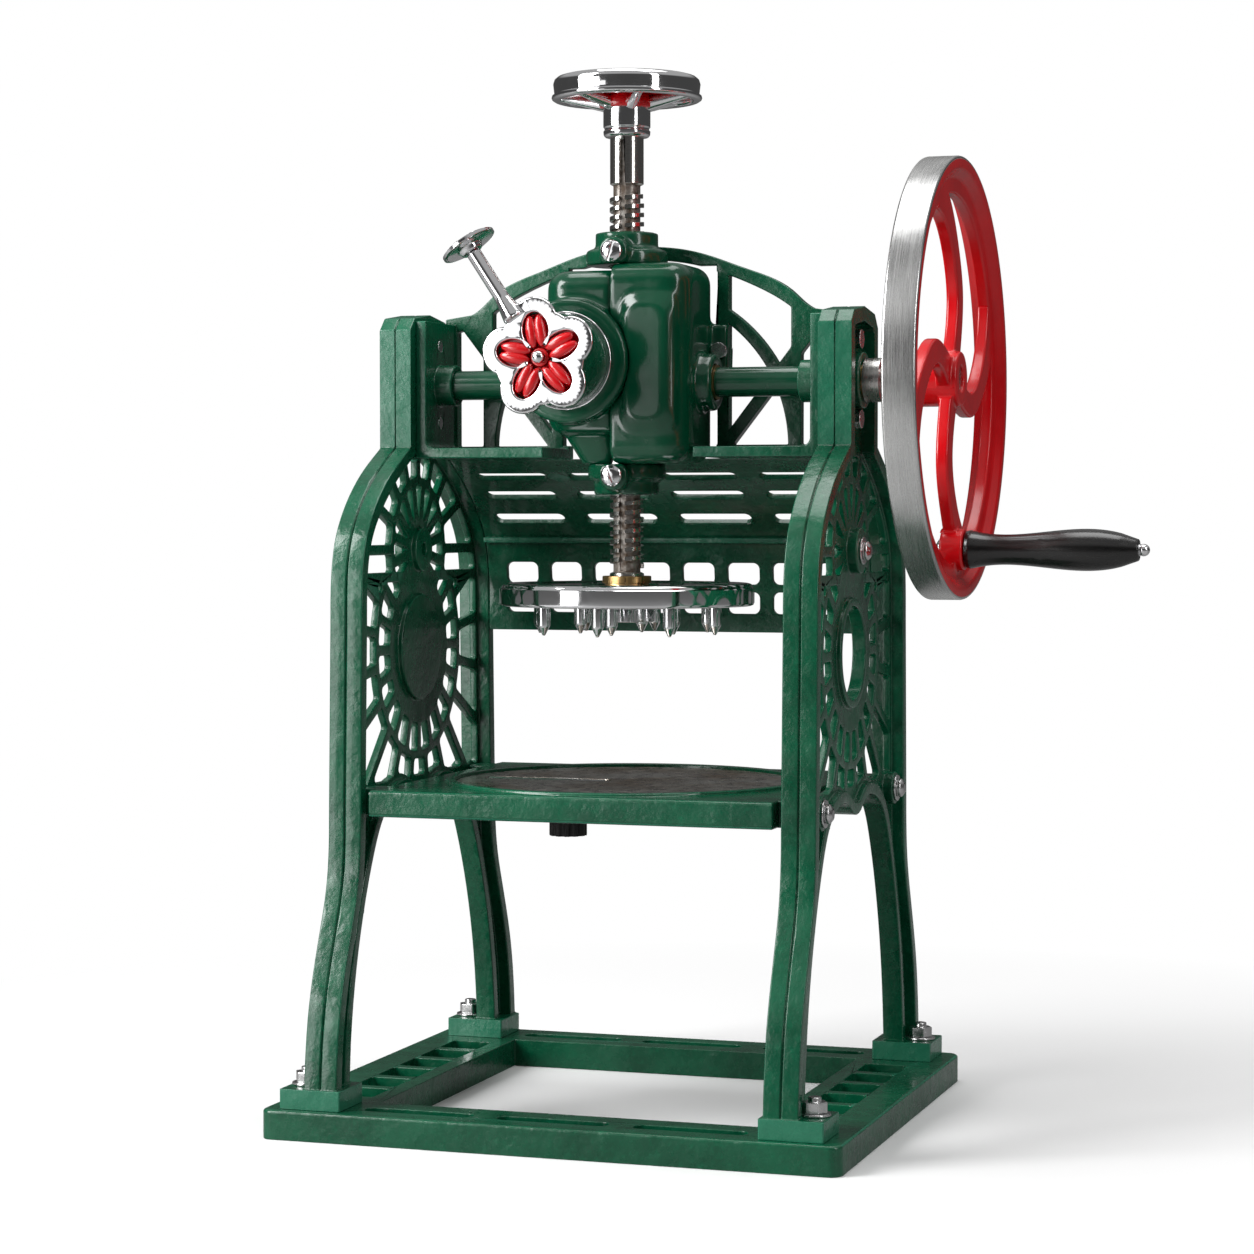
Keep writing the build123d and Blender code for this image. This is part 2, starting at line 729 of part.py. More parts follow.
def upper_yoke():
    wall = yoke_wall_face()
    inner = yoke_wall_face(arch_band)
    floor = yoke_low + yoke_shelf
    tall = post_height + arch_rise * 2
    inner = inner & (Pos(0, floor + tall / 2) * Rectangle(2 * (yoke_half - yoke_flange), tall))
    ribs = Sketch()
    hub = (0, floor)
    for side in (-1, 1):
        strip = Pos(side * yoke_strip_x, floor + tall / 2) * Rectangle(yoke_rib, tall)
        upright = Pos(side * yoke_upright_x, floor + tall / 2) * Rectangle(yoke_rib - 1, tall)
        lean = Pos(side * yoke_strip_x, floor) * Rot(0, 0, -side * 38) * Pos(0, tall / 2)
        ribs = ribs + strip + upright + lean * Rectangle(yoke_rib, tall)
    sweep = yoke_upright_x + 2
    bow = Pos(*hub) * (Circle(sweep) - Circle(sweep - yoke_rib))
    side_field = inner - Rectangle(2 * yoke_strip_x, 4 * shaft_z)
    open_cells = (inner - ribs - (bow & side_field)).faces()
    cells = [cell for cell in open_cells if cell.area > smallest_cell]
    face = wall
    for cell in cells:
        face = face - cell
    yoke = slab_y(face, yoke_back - yoke_wall, yoke_back)
    cheek = yoke_half - yoke_flange
    for side in (-1, 1):
        x0, x1 = sorted((side * cheek, side * yoke_half))
        yoke = yoke + block(x0, x1, -yoke_front, yoke_back, yoke_low, post_top - yoke_top_margin)
        b0, b1 = sorted((side * (cheek - yoke_boss_length), side * yoke_half))
        yoke = yoke + round_x(yoke_boss, b0, b1, 0, shaft_z)
    yoke = yoke + block(-yoke_half, yoke_half, -yoke_front, yoke_back, yoke_low, floor)
    corners = yoke.edges().filter_by(Axis.Y).filter_by_position(Axis.Z, floor - 0.1, floor + 0.1)
    corners = [e for e in corners if abs(abs(e.center().X) - cheek) < 0.2 and e.length > yoke_front]
    yoke = fillet(corners, yoke_fillet / 2)
    body = round_z(bottom_flange[0] + wall_clearance, yoke_low - 1, floor + 1)
    yoke = yoke - body - housing_envelope(wall_clearance)
    for side in (-1, 1):
        bore = tube_radius + (running_gap if side > 0 else 0.1)
        x0, x1 = sorted((side * (cheek - yoke_boss_length - 1), side * (cheek - 1)))
        yoke = yoke - round_x(bore, x0, x1, 0, shaft_z)
    yoke = yoke - round_x(shaft_radius + 1, cheek - 2, yoke_half + 1, 0, shaft_z)
    for rise in yoke_bolt_rise:
        z = shoulder_height + rise
        yoke = yoke - round_x(screw_shank + shank_clearance, cheek, yoke_half, 0, z)
        yoke = yoke - round_x(screw_shank + shank_clearance, -yoke_half, -cheek, 0, z)
    for x, z in lug_places():
        yoke = yoke - round_y(lug_shank, 0, yoke_back, x, z)
    return yoke


def housing_envelope(grown):
    """The room that the gear housing takes up in the yoke."""
    low = yoke_low - 1
    return block(-housing_left - grown, housing_right + grown, -housing_front, housing_back + grown,
                 low, housing_high + grown)


def lug_places():
    """The two screws that hold the housing to the yoke's upright strips."""
    return [(side * yoke_strip_x, shaft_z + lug_rise) for side in (-1, 1)]


def back_guard():
    """A curved slotted plate that follows the side frames' backs."""
    outer = frame_outline(False, guard_inset)
    inner = frame_outline(False, guard_inset + guard_thick)
    low = shoulder_height - guard_bottom_below_shoulder
    high = yoke_low
    start = yoke_back - 8
    keep = Pos(start + body_half_low / 2, (low + high) / 2) * Rectangle(body_half_low, high - low)
    strip = (outer - inner) & keep
    guard = slab_x(strip, -frame_inner, frame_inner)
    bead_z = shoulder_height - guard_bead_below_shoulder
    bead_y = guard_line(bead_z)
    bead = block(-frame_inner, frame_inner, bead_y - guard_thick - guard_bead, bead_y - guard_thick / 2,
                 bead_z - guard_bead / 2, bead_z + guard_bead / 2)
    guard = guard + bead
    for y in guard_row_y:
        z, lean = guard_point(y)
        for x in spread(guard_columns, guard_slot_pitch):
            hole = extrude(SlotOverall(*guard_slot), guard_thick * 3, both=True)
            guard = guard - Pos(x, y, z) * Rot(-lean, 0, 0) * hole
    for drop in guard_window_rows:
        z = shoulder_height - drop
        for x in spread(guard_window_columns, guard_window_pitch):
            hole = Pos(x, z) * RectangleRounded(*guard_window, guard_window_corner)
            guard = guard - slab_y(hole, body_half_low / 2, body_half_low + 10)
    return guard


def shoulder_points():
    """Points along the back of the shoulder, from the body up to the post."""
    curve = frame_outline(False).edges().filter_by(GeomType.BSPLINE)
    curve = [e for e in curve if e.center().Y > ring_z and e.center().X > 0][0]
    return [curve @ (i / 40) for i in range(41)]


def guard_point(y):
    """Height and slope of the guard's middle at one distance back."""
    points = shoulder_points()
    drop = guard_inset + guard_thick / 2
    middle = []
    for a, b in zip(points[:-1], points[1:]):
        run = hypot(b.X - a.X, b.Y - a.Y)
        normal = ((b.Y - a.Y) / run, -(b.X - a.X) / run)
        if normal[0] * 1 + normal[1] * 1 < 0:
            normal = (-normal[0], -normal[1])
        middle.append(((a.X + b.X) / 2 - normal[0] * drop, (a.Y + b.Y) / 2 - normal[1] * drop, normal))
    near = min(middle, key=lambda m: abs(m[0] - y))
    return near[1], degrees(atan2(near[2][0], near[2][1]))


def guard_line(z):
    """How far back the guard's outer face is at one height."""
    points = shoulder_points()
    near = min(points, key=lambda p: abs(p.Y - z))
    return near.X - guard_inset


# ---------------------------------------------------------------- gear housing and its caps
def cavity():
    """The room inside the housing for the gears, the feed wheel and the spindle."""
    gear_room = gear_radius + 1.6
    seat = shaft_z - pinion_radius - tooth_dedendum - gear_back
    room = round_z(gear_room, seat - seat_gap, shaft_z - 2)
    room = room + round_z(sleeve_radius + running_gap, housing_low - 1, seat)
    room = room + round_x(pinion_radius + 2.2, 0, housing_right - 4, 0, shaft_z)
    room = room + round_z(spindle_radius + 1, shaft_z - 4, housing_high + 1)
    half = worm_width / 2 + 1
    room = room + round_y(worm_tip + 1, -half, half, feed_x, feed_z)
    room = room + round_y(feed_shaft_radius + running_gap, -drum_flange_front - 1, housing_back - 4,
                          feed_x, feed_z)
    bush = shaft_radius + bush_wall
    room = room + round_x(bush, housing_right - 5, housing_right + boss_flange[1] + 1, 0, shaft_z)
    return room


def lobe(x0, x1, low, high, front, back):
    """A rounded half casting."""
    body = block(x0, x1, -front, back, low, high)
    far = x1 if abs(x1) > abs(x0) else x0
    uprights = [e for e in body.edges().filter_by(Axis.Z) if abs(e.center().X - far) < 0.1]
    body = fillet(uprights, housing_corner)
    caps = [e for f in (body.faces().sort_by(Axis.Z)[0], body.faces().sort_by(Axis.Z)[-1])
            for e in f.edges() if abs(e.center().X) > 1.0 or e.geom_type != GeomType.LINE]
    caps = [e for e in caps if abs(e.center().X) > 0.1]
    return fillet(caps, housing_crown)


def front_plane(x, y, z):
    """A drawing plane that faces the front, centred on one point."""
    return Plane(origin=(x, y, z), x_dir=(1, 0, 0), z_dir=(0, -1, 0))


def gear_housing():
    """The two castings, parted on the spindle's plane."""
    right = lobe(0, housing_right, housing_low, housing_high, housing_front, housing_back)
    tall = housing_high - housing_low
    middle = (housing_high + housing_low) / 2
    root = front_plane(housing_right / 2, -housing_front + 1, middle)
    cheek = front_plane(housing_right / 2, -housing_front - cheek_bulge, middle)
    right = right + loft([root * RectangleRounded(housing_right - 9, tall - 24, 9),
                          cheek * RectangleRounded(housing_right - 18, tall - 40, 8)])
    boss_r, boss_t = boss_flange
    right = right + round_x(boss_r, housing_right - 6, housing_right + boss_t, 0, shaft_z)
    left = lobe(-housing_left, 0, housing_low + left_lobe_lower, housing_high - 3, housing_front - 2,
                housing_back)
    taper = loft([Pos(-housing_left / 2 - 1, 0, housing_low + left_lobe_lower + 12) *
                  RectangleRounded(housing_left - 4, 2 * housing_back - 6, 8),
                  Pos(-10.5, 0, housing_low) * RectangleRounded(19, 26, 6)])
    left = left + taper
    flange_back = drum_flange_front - drum_flange_thick
    disc = round_y(drum_flange_radius, -drum_flange_front, -flange_back, feed_x, feed_z)
    neck = round_y(drum_flange_radius - 5, -flange_back, -tube_radius - 1, feed_x, feed_z)
    left = left + disc + (neck & block(-4 * housing_left, 0, -housing_front - 9, 0, 0, 2 * shaft_z))
    right = right - round_y(drum_flange_radius + 0.1, -drum_flange_front - 1, -flange_back, feed_x, feed_z)
    room = cavity()
    left = left - room
    right = right - room
    spigot_radius, spigot_length = stay_spigot
    left = left - round_x(spigot_radius, -housing_left - 1, -housing_left + spigot_length + 1, 0, shaft_z)
    for side in (-1, 1):
        inner = housing_left if side < 0 else housing_right
        x0, x1 = sorted((side * (inner - 8), side * (yoke_strip_x + lug_out / 2)))
        z = shaft_z + lug_rise
        y1 = yoke_back - yoke_wall
        lug = block(x0, x1, y1 - lug_thick, y1, z - lug_height / 2, z + lug_height / 2)
        lug = lug - round_y(lug_shank, y1 - lug_thick, y1, side * yoke_strip_x, z)
        if side < 0:
            left = left + lug
        else:
            right = right + lug
    ears = joined([round_y(cap_screw_shank[0], -ear_front, 0, 0, z) for z in ear_heights()])
    return {"housing_left": left - ears, "housing_right": right - ears}


def ear_heights():
    """The two front screws' heights, on the top and bottom caps."""
    away = cap_screw_head[0] + seat_gap
    return (housing_high + away, housing_low - away)


def bearing_caps():
    """The collars above and below the housing."""
    bore = spindle_radius + running_gap
    high = housing_high
    top = round_z(top_flange[0], high, high + top_flange[1])
    top = fillet(top.faces().sort_by(Axis.Z)[-1].edges(), 2.5)
    top = top + round_z(top_collar[0], high, collar_top)
    low = housing_low
    bottom = round_z(bottom_flange[0], low - bottom_flange[1], low)
    bottom = bottom + round_z(bottom_collar[0], collar_low, low)
    up, down = ear_heights()
    ear_back = -8
    top = top + (round_y(ear_radius, -ear_front, ear_back, 0, up) & block(-20, 20, -40, 0, high, up + 20))
    bottom = bottom + (round_y(ear_radius, -ear_front, ear_back, 0, down) &
                       block(-20, 20, -40, 0, down - 20, low))
    head, length = cap_screw_shank
    top = top - round_z(bore, high, collar_top) - round_y(head, -ear_front, -ear_front + length, 0, up)
    sleeve = sleeve_radius + running_gap
    bottom = bottom - round_z(sleeve, collar_low, low)
    bottom = bottom - round_y(head, -ear_front, -ear_front + length, 0, down)
    return {"top_bearing_cap": top, "bottom_bearing_cap": bottom}


def slotted_screw(head, thick, shank, length):
    """A cheese-head screw along -Y: its head's underside is at y = 0."""
    return round_y(head, -thick, 0) + round_y(shank, 0, length)


def cap_screws():
    shank, length = cap_screw_shank
    screw = slotted_screw(*cap_screw_head, shank - shank_clearance / 2, length)
    return group([Pos(0, -ear_front, z) * screw for z in ear_heights()])


def lug_screws():
    screw = slotted_screw(*lug_screw_head, lug_shank - running_gap, lug_thick + yoke_wall)
    y = yoke_back - yoke_wall - lug_thick
    return group([Pos(x, y, z) * screw for x, z in lug_places()])


# ---------------------------------------------------------------- stay, tube, bushes and crank shaft
def left_stay():
    cheek = yoke_half - yoke_flange
    stay = round_x(tube_radius, -(cheek - 1), -housing_left, 0, shaft_z)
    radius, length = stay_spigot
    return stay + round_x(radius - running_gap, -housing_left, -housing_left + length, 0, shaft_z)


def shaft_tube():
    start = housing_right + boss_flange[1]
    end = yoke_half - yoke_flange - 2
    tube = round_x(tube_radius, start, end, 0, shaft_z)
    return tube - round_x(shaft_radius + 0.3, start, end, 0, shaft_z)


def bushes():
    outer = shaft_radius + bush_wall - bush_fit
    bore = shaft_radius + running_gap
    inner_bush = round_x(outer, housing_right - 4, housing_right + boss_flange[1], 0, shaft_z)
    inner_bush = inner_bush - round_x(bore, 0, frame_outer, 0, shaft_z)
    frame_bush = round_x(outer, frame_inner, frame_outer + bush_proud, 0, shaft_z)
    frame_bush = frame_bush - round_x(bore, 0, 2 * frame_outer, 0, shaft_z)
    plug = mirror(round_x(outer, frame_inner + 1, frame_outer + bush_proud, 0, shaft_z), Plane.YZ)
    return {"housing_bush": inner_bush, "frame_bush": frame_bush, "post_plug": plug}


def crank_shaft():
    end = wheel_face - wheel_web_recess + hub_front - shaft_end_inset
    spigot = round_x(pinion_bore, gear_radius * inner_scale, shaft_shoulder, 0, shaft_z)
    return spigot + round_x(shaft_radius, shaft_shoulder, end, 0, shaft_z)


def thrust_collar():
    start = frame_outer + bush_proud + collar_gap
    radius, width = shaft_collar
    collar = round_x(radius, start, start + width, 0, shaft_z)
    return collar - round_x(shaft_radius, start, start + width, 0, shaft_z)


# ---------------------------------------------------------------- bevel gears
def bevel_tooth():
    """A tooth's section at the outer end of the pitch cone: (across, towards the tip)."""
    half = pi * bevel_module / 4 - tooth_backlash / 2
    lean = tan(radians(pressure_angle))
    root = tooth_dedendum + 0.5
    return ((-half - root * lean, -root), (half + root * lean, -root),
            (half - tooth_addendum * lean, tooth_addendum),
            (-half + tooth_addendum * lean, tooth_addendum))


def bevel_teeth(radius, cone, count, turn):
    """All teeth of one bevel gear about Z, with its apex at the origin and its body below."""
    drop = radius / tan(cone)
    tipward = Vector(cos(cone), 0, sin(cone))
    pitch_point = Vector(radius, 0, -drop)
    side = Vector(0, 1, 0)
    quad = [pitch_point + side * u + tipward * v for u, v in bevel_tooth()]
    big = Wire.make_polygon(quad)
    small = Wire.make_polygon([q * inner_scale for q in quad])
    tooth = Solid.make_loft([big, small], ruled=True)
    return [Rot(0, 0, turn + i * 360 / count) * tooth for i in range(count)]


def bevel_blank(radius, cone, behind, bore):
    """The body behind the teeth: a cone frustum and a back face."""
    drop = radius / tan(cone)
    root_r = radius - tooth_dedendum * cos(cone)
    root_z = -drop - tooth_dedendum * sin(cone)
    near_r = root_r * inner_scale
    near_z = root_z * inner_scale
    return turned_z([(bore, near_z), (near_r, near_z), (root_r, root_z), (root_r, root_z - behind),
                     (bore, root_z - behind)])


def bevel_gears():
    """Driven gear on the spindle's sleeve and the pinion on the crank shaft, in mesh."""
    keep = spindle_radius + running_gap
    blank = bevel_blank(gear_radius, gear_cone, gear_back, keep)
    gap_turn = 180 / gear_teeth
    gear = joined([blank] + bevel_teeth(gear_radius, gear_cone, gear_teeth, gap_turn))
    foot = collar_low - shaft_z
    root_z = -pinion_radius - tooth_dedendum * sin(gear_cone)
    sleeve = round_z(sleeve_radius, foot, root_z)
    gear = gear + sleeve - round_z(keep, foot - 1, 1)
    key_w, key_d = keyway
    seat = block(-key_w / 2, key_w / 2, -sleeve_radius - 1, 0, key_low() - shaft_z,
                 key_low() + key_length - shaft_z)
    gear = gear - seat
    blank = bevel_blank(pinion_radius, pinion_cone, pinion_back, pinion_bore)
    pinion = joined([blank] + bevel_teeth(pinion_radius, pinion_cone, pinion_teeth, 0))
    pinion = pinion - round_z(pinion_bore, -2 * gear_radius, 1)
    key = block(-key_w / 2 + key_clearance / 2, key_w / 2 - key_clearance / 2, -sleeve_radius + 0.2,
                -(spindle_radius - key_d + seat_gap), key_low(), key_low() + key_length)
    lift = Pos(0, 0, shaft_z)
    return {"driven_gear": lift * gear, "drive_pinion": lift * Rot(0, -90, 0) * pinion,
            "feather_key": key}


def key_low():
    """Lower end of the feather key in the sleeve."""
    return housing_low + 3


# ---------------------------------------------------------------- spindle group
def spindle_group():
    low = plate_top - plate_thick - plate_nut[1]
    neck = hub_low + 3
    web_top = hub_low + handwheel_hub[1] + handwheel_web
    tip = web_top + handwheel_nut[1] - 1
    slim = spindle_radius - spindle_top_reduction
    key_w, key_d = keyway
    spindle = round_z(spindle_radius, plate_top - plate_thick, neck) + round_z(slim, low, tip)
    spindle = spindle - block(-key_w / 2, key_w / 2, -spindle_radius - 1, -spindle_radius + key_d,
                              plate_top + plate_collar[1] + 1, hub_low - 1)
    plate = round_z(plate_radius, plate_top - plate_thick, plate_top)
    plate = chamfer(plate.faces().sort_by(Axis.Z)[-1].edges(), plate_chamfer)
    plate = plate - round_z(spindle_radius, 0, plate_top)
    collar = round_z(plate_collar[0], plate_top, plate_top + plate_collar[1])
    collar = collar - round_z(spindle_radius, plate_top, plate_top + plate_collar[1])
    nut = hex_z(plate_nut[0], low, plate_top - plate_thick) - round_z(slim, low, plate_top)
    cap = hex_z(handwheel_nut[0], web_top, web_top + handwheel_nut[1])
    cap = cap - round_z(slim, web_top, tip)
    return {"feed_spindle": spindle, "pressure_plate": plate, "plate_collar": collar,
            "plate_nut": nut, "handwheel_nut": cap, "top_handwheel": handwheel(neck, slim),
            "ice_spikes": spikes()}


def handwheel(neck, slim):
    """A dished wheel: a deep rim, a thin web and ribs down to a long hub."""
    hub_r, hub_h = handwheel_hub
    web_low = hub_low + hub_h
    rim_low = hub_low + handwheel_rise
    rim_high = rim_low + handwheel_rim
    inner = handwheel_radius - handwheel_rim_thick
    rim = turned_z([(inner, rim_low), (handwheel_radius, rim_low), (handwheel_radius, rim_low + 2),
                    (handwheel_radius - 0.7, rim_low + 2.8), (handwheel_radius - 0.7, rim_high - 2.5),
                    (handwheel_radius - 3, rim_high), (inner + 1, rim_high), (inner, rim_high - 2)])
    web = round_z(inner + 1, web_low, web_low + handwheel_web)
    hub = round_z(hub_r, hub_low, web_low + handwheel_web)
    hub = hub + round_z(hub_r + 2, web_low - 8, web_low)
    rib = make_face(Polyline((hub_r - 2, web_low - 8), (inner + 1, rim_low), (inner + 1, web_low + 1),
                             (hub_r - 2, web_low + 1), close=True))
    blade = extrude(Plane.XZ * rib, handwheel_rib_thick / 2, both=True)
    wheel = joined([rim, web, hub] + [Rot(0, 0, i * 360 / handwheel_ribs) * blade
                                      for i in range(handwheel_ribs)])
    wheel = wheel - round_z(slim, hub_low, web_low + handwheel_web)
    return wheel - round_z(spindle_radius, hub_low, neck)


def spikes():
    high = plate_top - plate_thick
    low = high - spike_length
    one = turned_z([(0, low), (spike_tip, low), (spike_radius, low + spike_point), (spike_radius, high),
                    (0, high)])
    return group([Pos(radius * cos(2 * pi * i / count), radius * sin(2 * pi * i / count)) * one
                  for count, radius in spike_rings for i in range(count)])


# ---------------------------------------------------------------- feed wheel and flower lever
def feed_wheel_group():
    """The small wheel that meshes with the spindle's thread, on its cross shaft."""
    root = worm_pitch_radius - worm_dedendum
    half_pitch = pi * worm_pitch_radius / worm_teeth / 2
    tooth = make_face(Polyline((root - 1, -half_pitch * 1.1), (worm_pitch_radius, -half_pitch * 0.86),
                               (worm_tip, -half_pitch * 0.45), (worm_tip, half_pitch * 0.45),
                               (worm_pitch_radius, half_pitch * 0.86), (root - 1, half_pitch * 1.1),
                               close=True))
    face = Circle(root)
    for i in range(worm_teeth):
        face = face + Rot(0, 0, i * 360 / worm_teeth) * tooth
    half = worm_width / 2
    wheel = Pos(feed_x, 0, feed_z) * slab_y(face - Circle(feed_shaft_radius), -half, half)
    front = -(drum_flange_front + friction_ring[1] + drum_length)
    step = front + insert_thick + pin_root
    shaft = round_y(feed_shaft_radius, step, housing_back - 5, feed_x, feed_z)
    tip = round_y(pin_radius, front - flower_thick + insert_dish, step, feed_x, feed_z)
    return {"worm_wheel": wheel, "feed_shaft": shaft + tip}


def flower_outline():
    """Five round lobes about a round core, in (X, Z)."""
    out, lobe_r = flower_lobe
    shape = Sketch() + Circle(flower_core)
    for i in range(5):
        a = radians(flower_turn + 72 * i)
        shape = shape + Pos(out * cos(a), out * sin(a)) * Circle(lobe_r)
    return shape


def petals(grow):
    """The five petals and their heart, in (X, Z)."""
    shape = Sketch() + Circle(petal_heart + grow)
    for i in range(5):
        turn = flower_turn + 72 * i
        a = radians(turn)
        place = Pos(petal_centre * cos(a), petal_centre * sin(a)) * Rot(0, 0, turn)
        shape = shape + place * Ellipse(petal_half[0] + grow, petal_half[1] + grow)
    return shape


def flower_group():
    """The clamp: drum, flower plate with its lever, red insert and knob."""
    ring_back = drum_flange_front
    ring_radius, ring_thick = friction_ring
    ring = round_y(ring_radius, -ring_back - ring_thick, -ring_back, feed_x, feed_z)
    ring = ring - round_y(ring_radius - friction_ring_wide, -ring_back - ring_thick, 0, feed_x, feed_z)
    back = -(drum_flange_front + ring_thick + 0.1)
    front = -(drum_flange_front + ring_thick + drum_length)
    bore = feed_shaft_radius + running_gap
    drum = round_y(drum_radius, front, back, feed_x, feed_z)
    drum = drum - round_y(insert_radius + 0.1, front, front + insert_thick, feed_x, feed_z)
    drum = drum - round_y(bore, front, back, feed_x, feed_z)
    plate = slab_y(flower_outline() - petals(0), front - flower_thick, front)
    plate = Pos(feed_x, 0, feed_z) * plate
    lever = lever_rod(front - flower_thick / 2)
    insert = slab_y(Sketch() + Circle(insert_radius) - Circle(pin_radius + 0.1), front, front + insert_thick)
    boss_r, boss_h = insert_boss
    boss = slab_y(Circle(boss_r) - Circle(pin_radius + 0.1), front - boss_h, front + 1)
    dish = slab_y(petals(-petal_inset) - Circle(petal_heart), front, front + insert_dish)
    insert = Pos(feed_x, 0, feed_z) * (insert - dish + boss)
    return {"friction_ring": ring, "feed_drum": drum, "flower_lever": plate + lever,
            "flower_insert": insert, "lever_knob": knob_on_lever(front - flower_thick / 2)}


def lever_frame(y):
    """A frame whose +Z runs out along the lever from the flower's centre."""
    return Pos(feed_x, y, feed_z) * Rot(0, 90 - lever_angle, 0)


def lever_rod(y):
    """The rod with its flared root, cut clear of the flower's window."""
    start = drum_radius + seat_gap
    root = start + lever_root_length
    flare = turned_z([(0, start), (lever_root_radius, start), (lever_radius, root), (0, root)])
    rod = round_z(lever_radius, start, lever_length)
    return lever_frame(y) * (flare + rod)


def knob_on_lever(y):
    radius, thick = lever_knob
    neck_r, neck_l = lever_neck
    knob = turned_z([(0, lever_length), (neck_r, lever_length), (neck_r + 1, lever_length + neck_l),
                     (radius - 1, lever_length + neck_l), (radius, lever_length + neck_l + 1),
                     (radius, lever_length + thick - 1.4), (radius - 1.6, lever_length + thick),
                     (0, lever_length + thick)])
    return lever_frame(y) * knob


# ---------------------------------------------------------------- flywheel and handle
def spoke_face():
    """One S-shaped spoke in (Y, Z), from the hub up to the ring."""
    reach = wheel_ring_inner + 2
    middle = [(0.0, hub_radius * 0.4), (spoke_bulge * 0.8, reach * 0.27), (spoke_bulge, reach * 0.45),
              (spoke_bulge * 0.25, reach * 0.66), (-spoke_sweep * 0.55, reach * 0.85),
              (-spoke_sweep * 1.5, reach * 0.95)]
    half = [spoke_hub_half, spoke_waist_half, spoke_waist_half, spoke_waist_half,
            (spoke_waist_half + spoke_rim_half) / 2, spoke_rim_half]
    left = []
    right = []
    for i, (y, z) in enumerate(middle):
        y0, z0 = middle[max(i - 1, 0)]
        y1, z1 = middle[min(i + 1, len(middle) - 1)]
        run = hypot(y1 - y0, z1 - z0)
        ny, nz = (z1 - z0) / run, -(y1 - y0) / run
        right.append((y + ny * half[i], z + nz * half[i]))
        left.append((y - ny * half[i], z - nz * half[i]))
    edges = [Spline(*right), Line(right[-1], left[-1]), Spline(*left[::-1]), Line(left[0], right[0])]
    return make_face(edges)


def flywheel():
    back = wheel_face - wheel_rim
    web1 = wheel_face - wheel_web_recess
    web0 = web1 - wheel_web
    rim_in = wheel_radius - wheel_rim_thick
    slope_in = rim_in - wheel_slope
    rim = turned_x([(back, wheel_radius), (wheel_face, wheel_radius), (wheel_face, rim_in),
                    (web1, slope_in), (web1, wheel_ring_inner), (web0, wheel_ring_inner),
                    (web0, slope_in), (back, rim_in)])
    spokes = Sketch()
    one = spoke_face()
    for i in range(spoke_count):
        spokes = spokes + Rot(0, 0, i * 360 / spoke_count) * one
    spokes = spokes & Circle(wheel_ring_inner + 1)
    wheel = rim + slab_x(spokes, web0, web1)
    wheel = wheel + round_x(hub_radius, web0 - hub_inner_length, web1 + hub_front)
    boss_y, boss_z = handle_y, handle_z - shaft_z
    wheel = wheel + round_x(handle_boss, web0 - 1, wheel_face, boss_y, boss_z)
    wheel = wheel - round_x(shaft_radius, 0, 2 * wheel_face)
    wheel = wheel - round_x(stud_radius + shank_clearance, 0, 2 * wheel_face, boss_y, boss_z)
    return Pos(0, 0, shaft_z) * wheel


def handle_group():
    """The turned grip that spins on its stud."""
    place = Pos(handle_start, handle_y, handle_z)
    curve = Spline(*handle_profile[1:-1])
    first, last = handle_profile[0], handle_profile[-1]
    bore = stud_radius + running_gap
    outline = [Line((first[0], bore), first), Line(first, handle_profile[1]), curve,
               Line(handle_profile[-2], last), Line(last, (last[0], bore)),
               Line((last[0], bore), (first[0], bore))]
    grip = place * revolve(make_face(outline), Axis.X)
    web0 = wheel_face - wheel_web_recess - wheel_web - 1
    head_r, head_t = stud_head
    dome = turned_x([(web0, 0), (web0, head_r), (web0 - head_t * 0.4, head_r),
                     (web0 - head_t * 0.85, head_r * 0.6), (web0 - head_t, 0)], 0, handle_y, handle_z)
    stud = dome + round_x(stud_radius, web0, handle_end, handle_y, handle_z)
    tip = Pos(handle_end + tip_radius * (tip_rise - 1), handle_y, handle_z) * Sphere(tip_radius)
    tip = tip & block(handle_end, 2 * handle_end, -wheel_radius, wheel_radius, 0, 2 * shaft_z)
    return {"handle_grip": grip, "handle_stud": stud, "handle_tip": tip}


# ---------------------------------------------------------------- fasteners
def foot_fasteners():
    top = base_thick + pad_height
    washer_r, washer_t = foot_washer
    nuts = []
    washers = []
    for x, y in foot_places():
        washer = round_z(washer_r, top, top + washer_t, x, y)
        washers.append(washer - round_z(foot_stud + shank_clearance, top, top + washer_t, x, y))
        nut = hex_z(foot_nut[0], top + washer_t, top + washer_t + foot_nut[1], x, y)
        stud_top = top + washer_t + foot_nut[1] + foot_stud_proud
        nuts.append(nut + round_z(foot_stud, 1, stud_top, x, y))
    return {"foot_nuts": group(nuts), "foot_washers": group(washers)}


def side_screw(y, z, seat, reach):
    """A washer and a pan-head screw on the crank side, along X."""
    washer_r, washer_t = screw_washer
    head_r, head_t = screw_head
    washer = round_x(washer_r, seat, seat + washer_t, y, z)
    washer = washer - round_x(screw_shank + shank_clearance, seat, seat + washer_t, y, z)
    under = seat + washer_t
    head = turned_x([(under, 0), (under, head_r), (under + head_t * 0.55, head_r),
                     (under + head_t, head_r * 0.55), (under + head_t, 0)], 0, y, z)
    return washer, head + round_x(screw_shank, seat - reach, under, y, z)


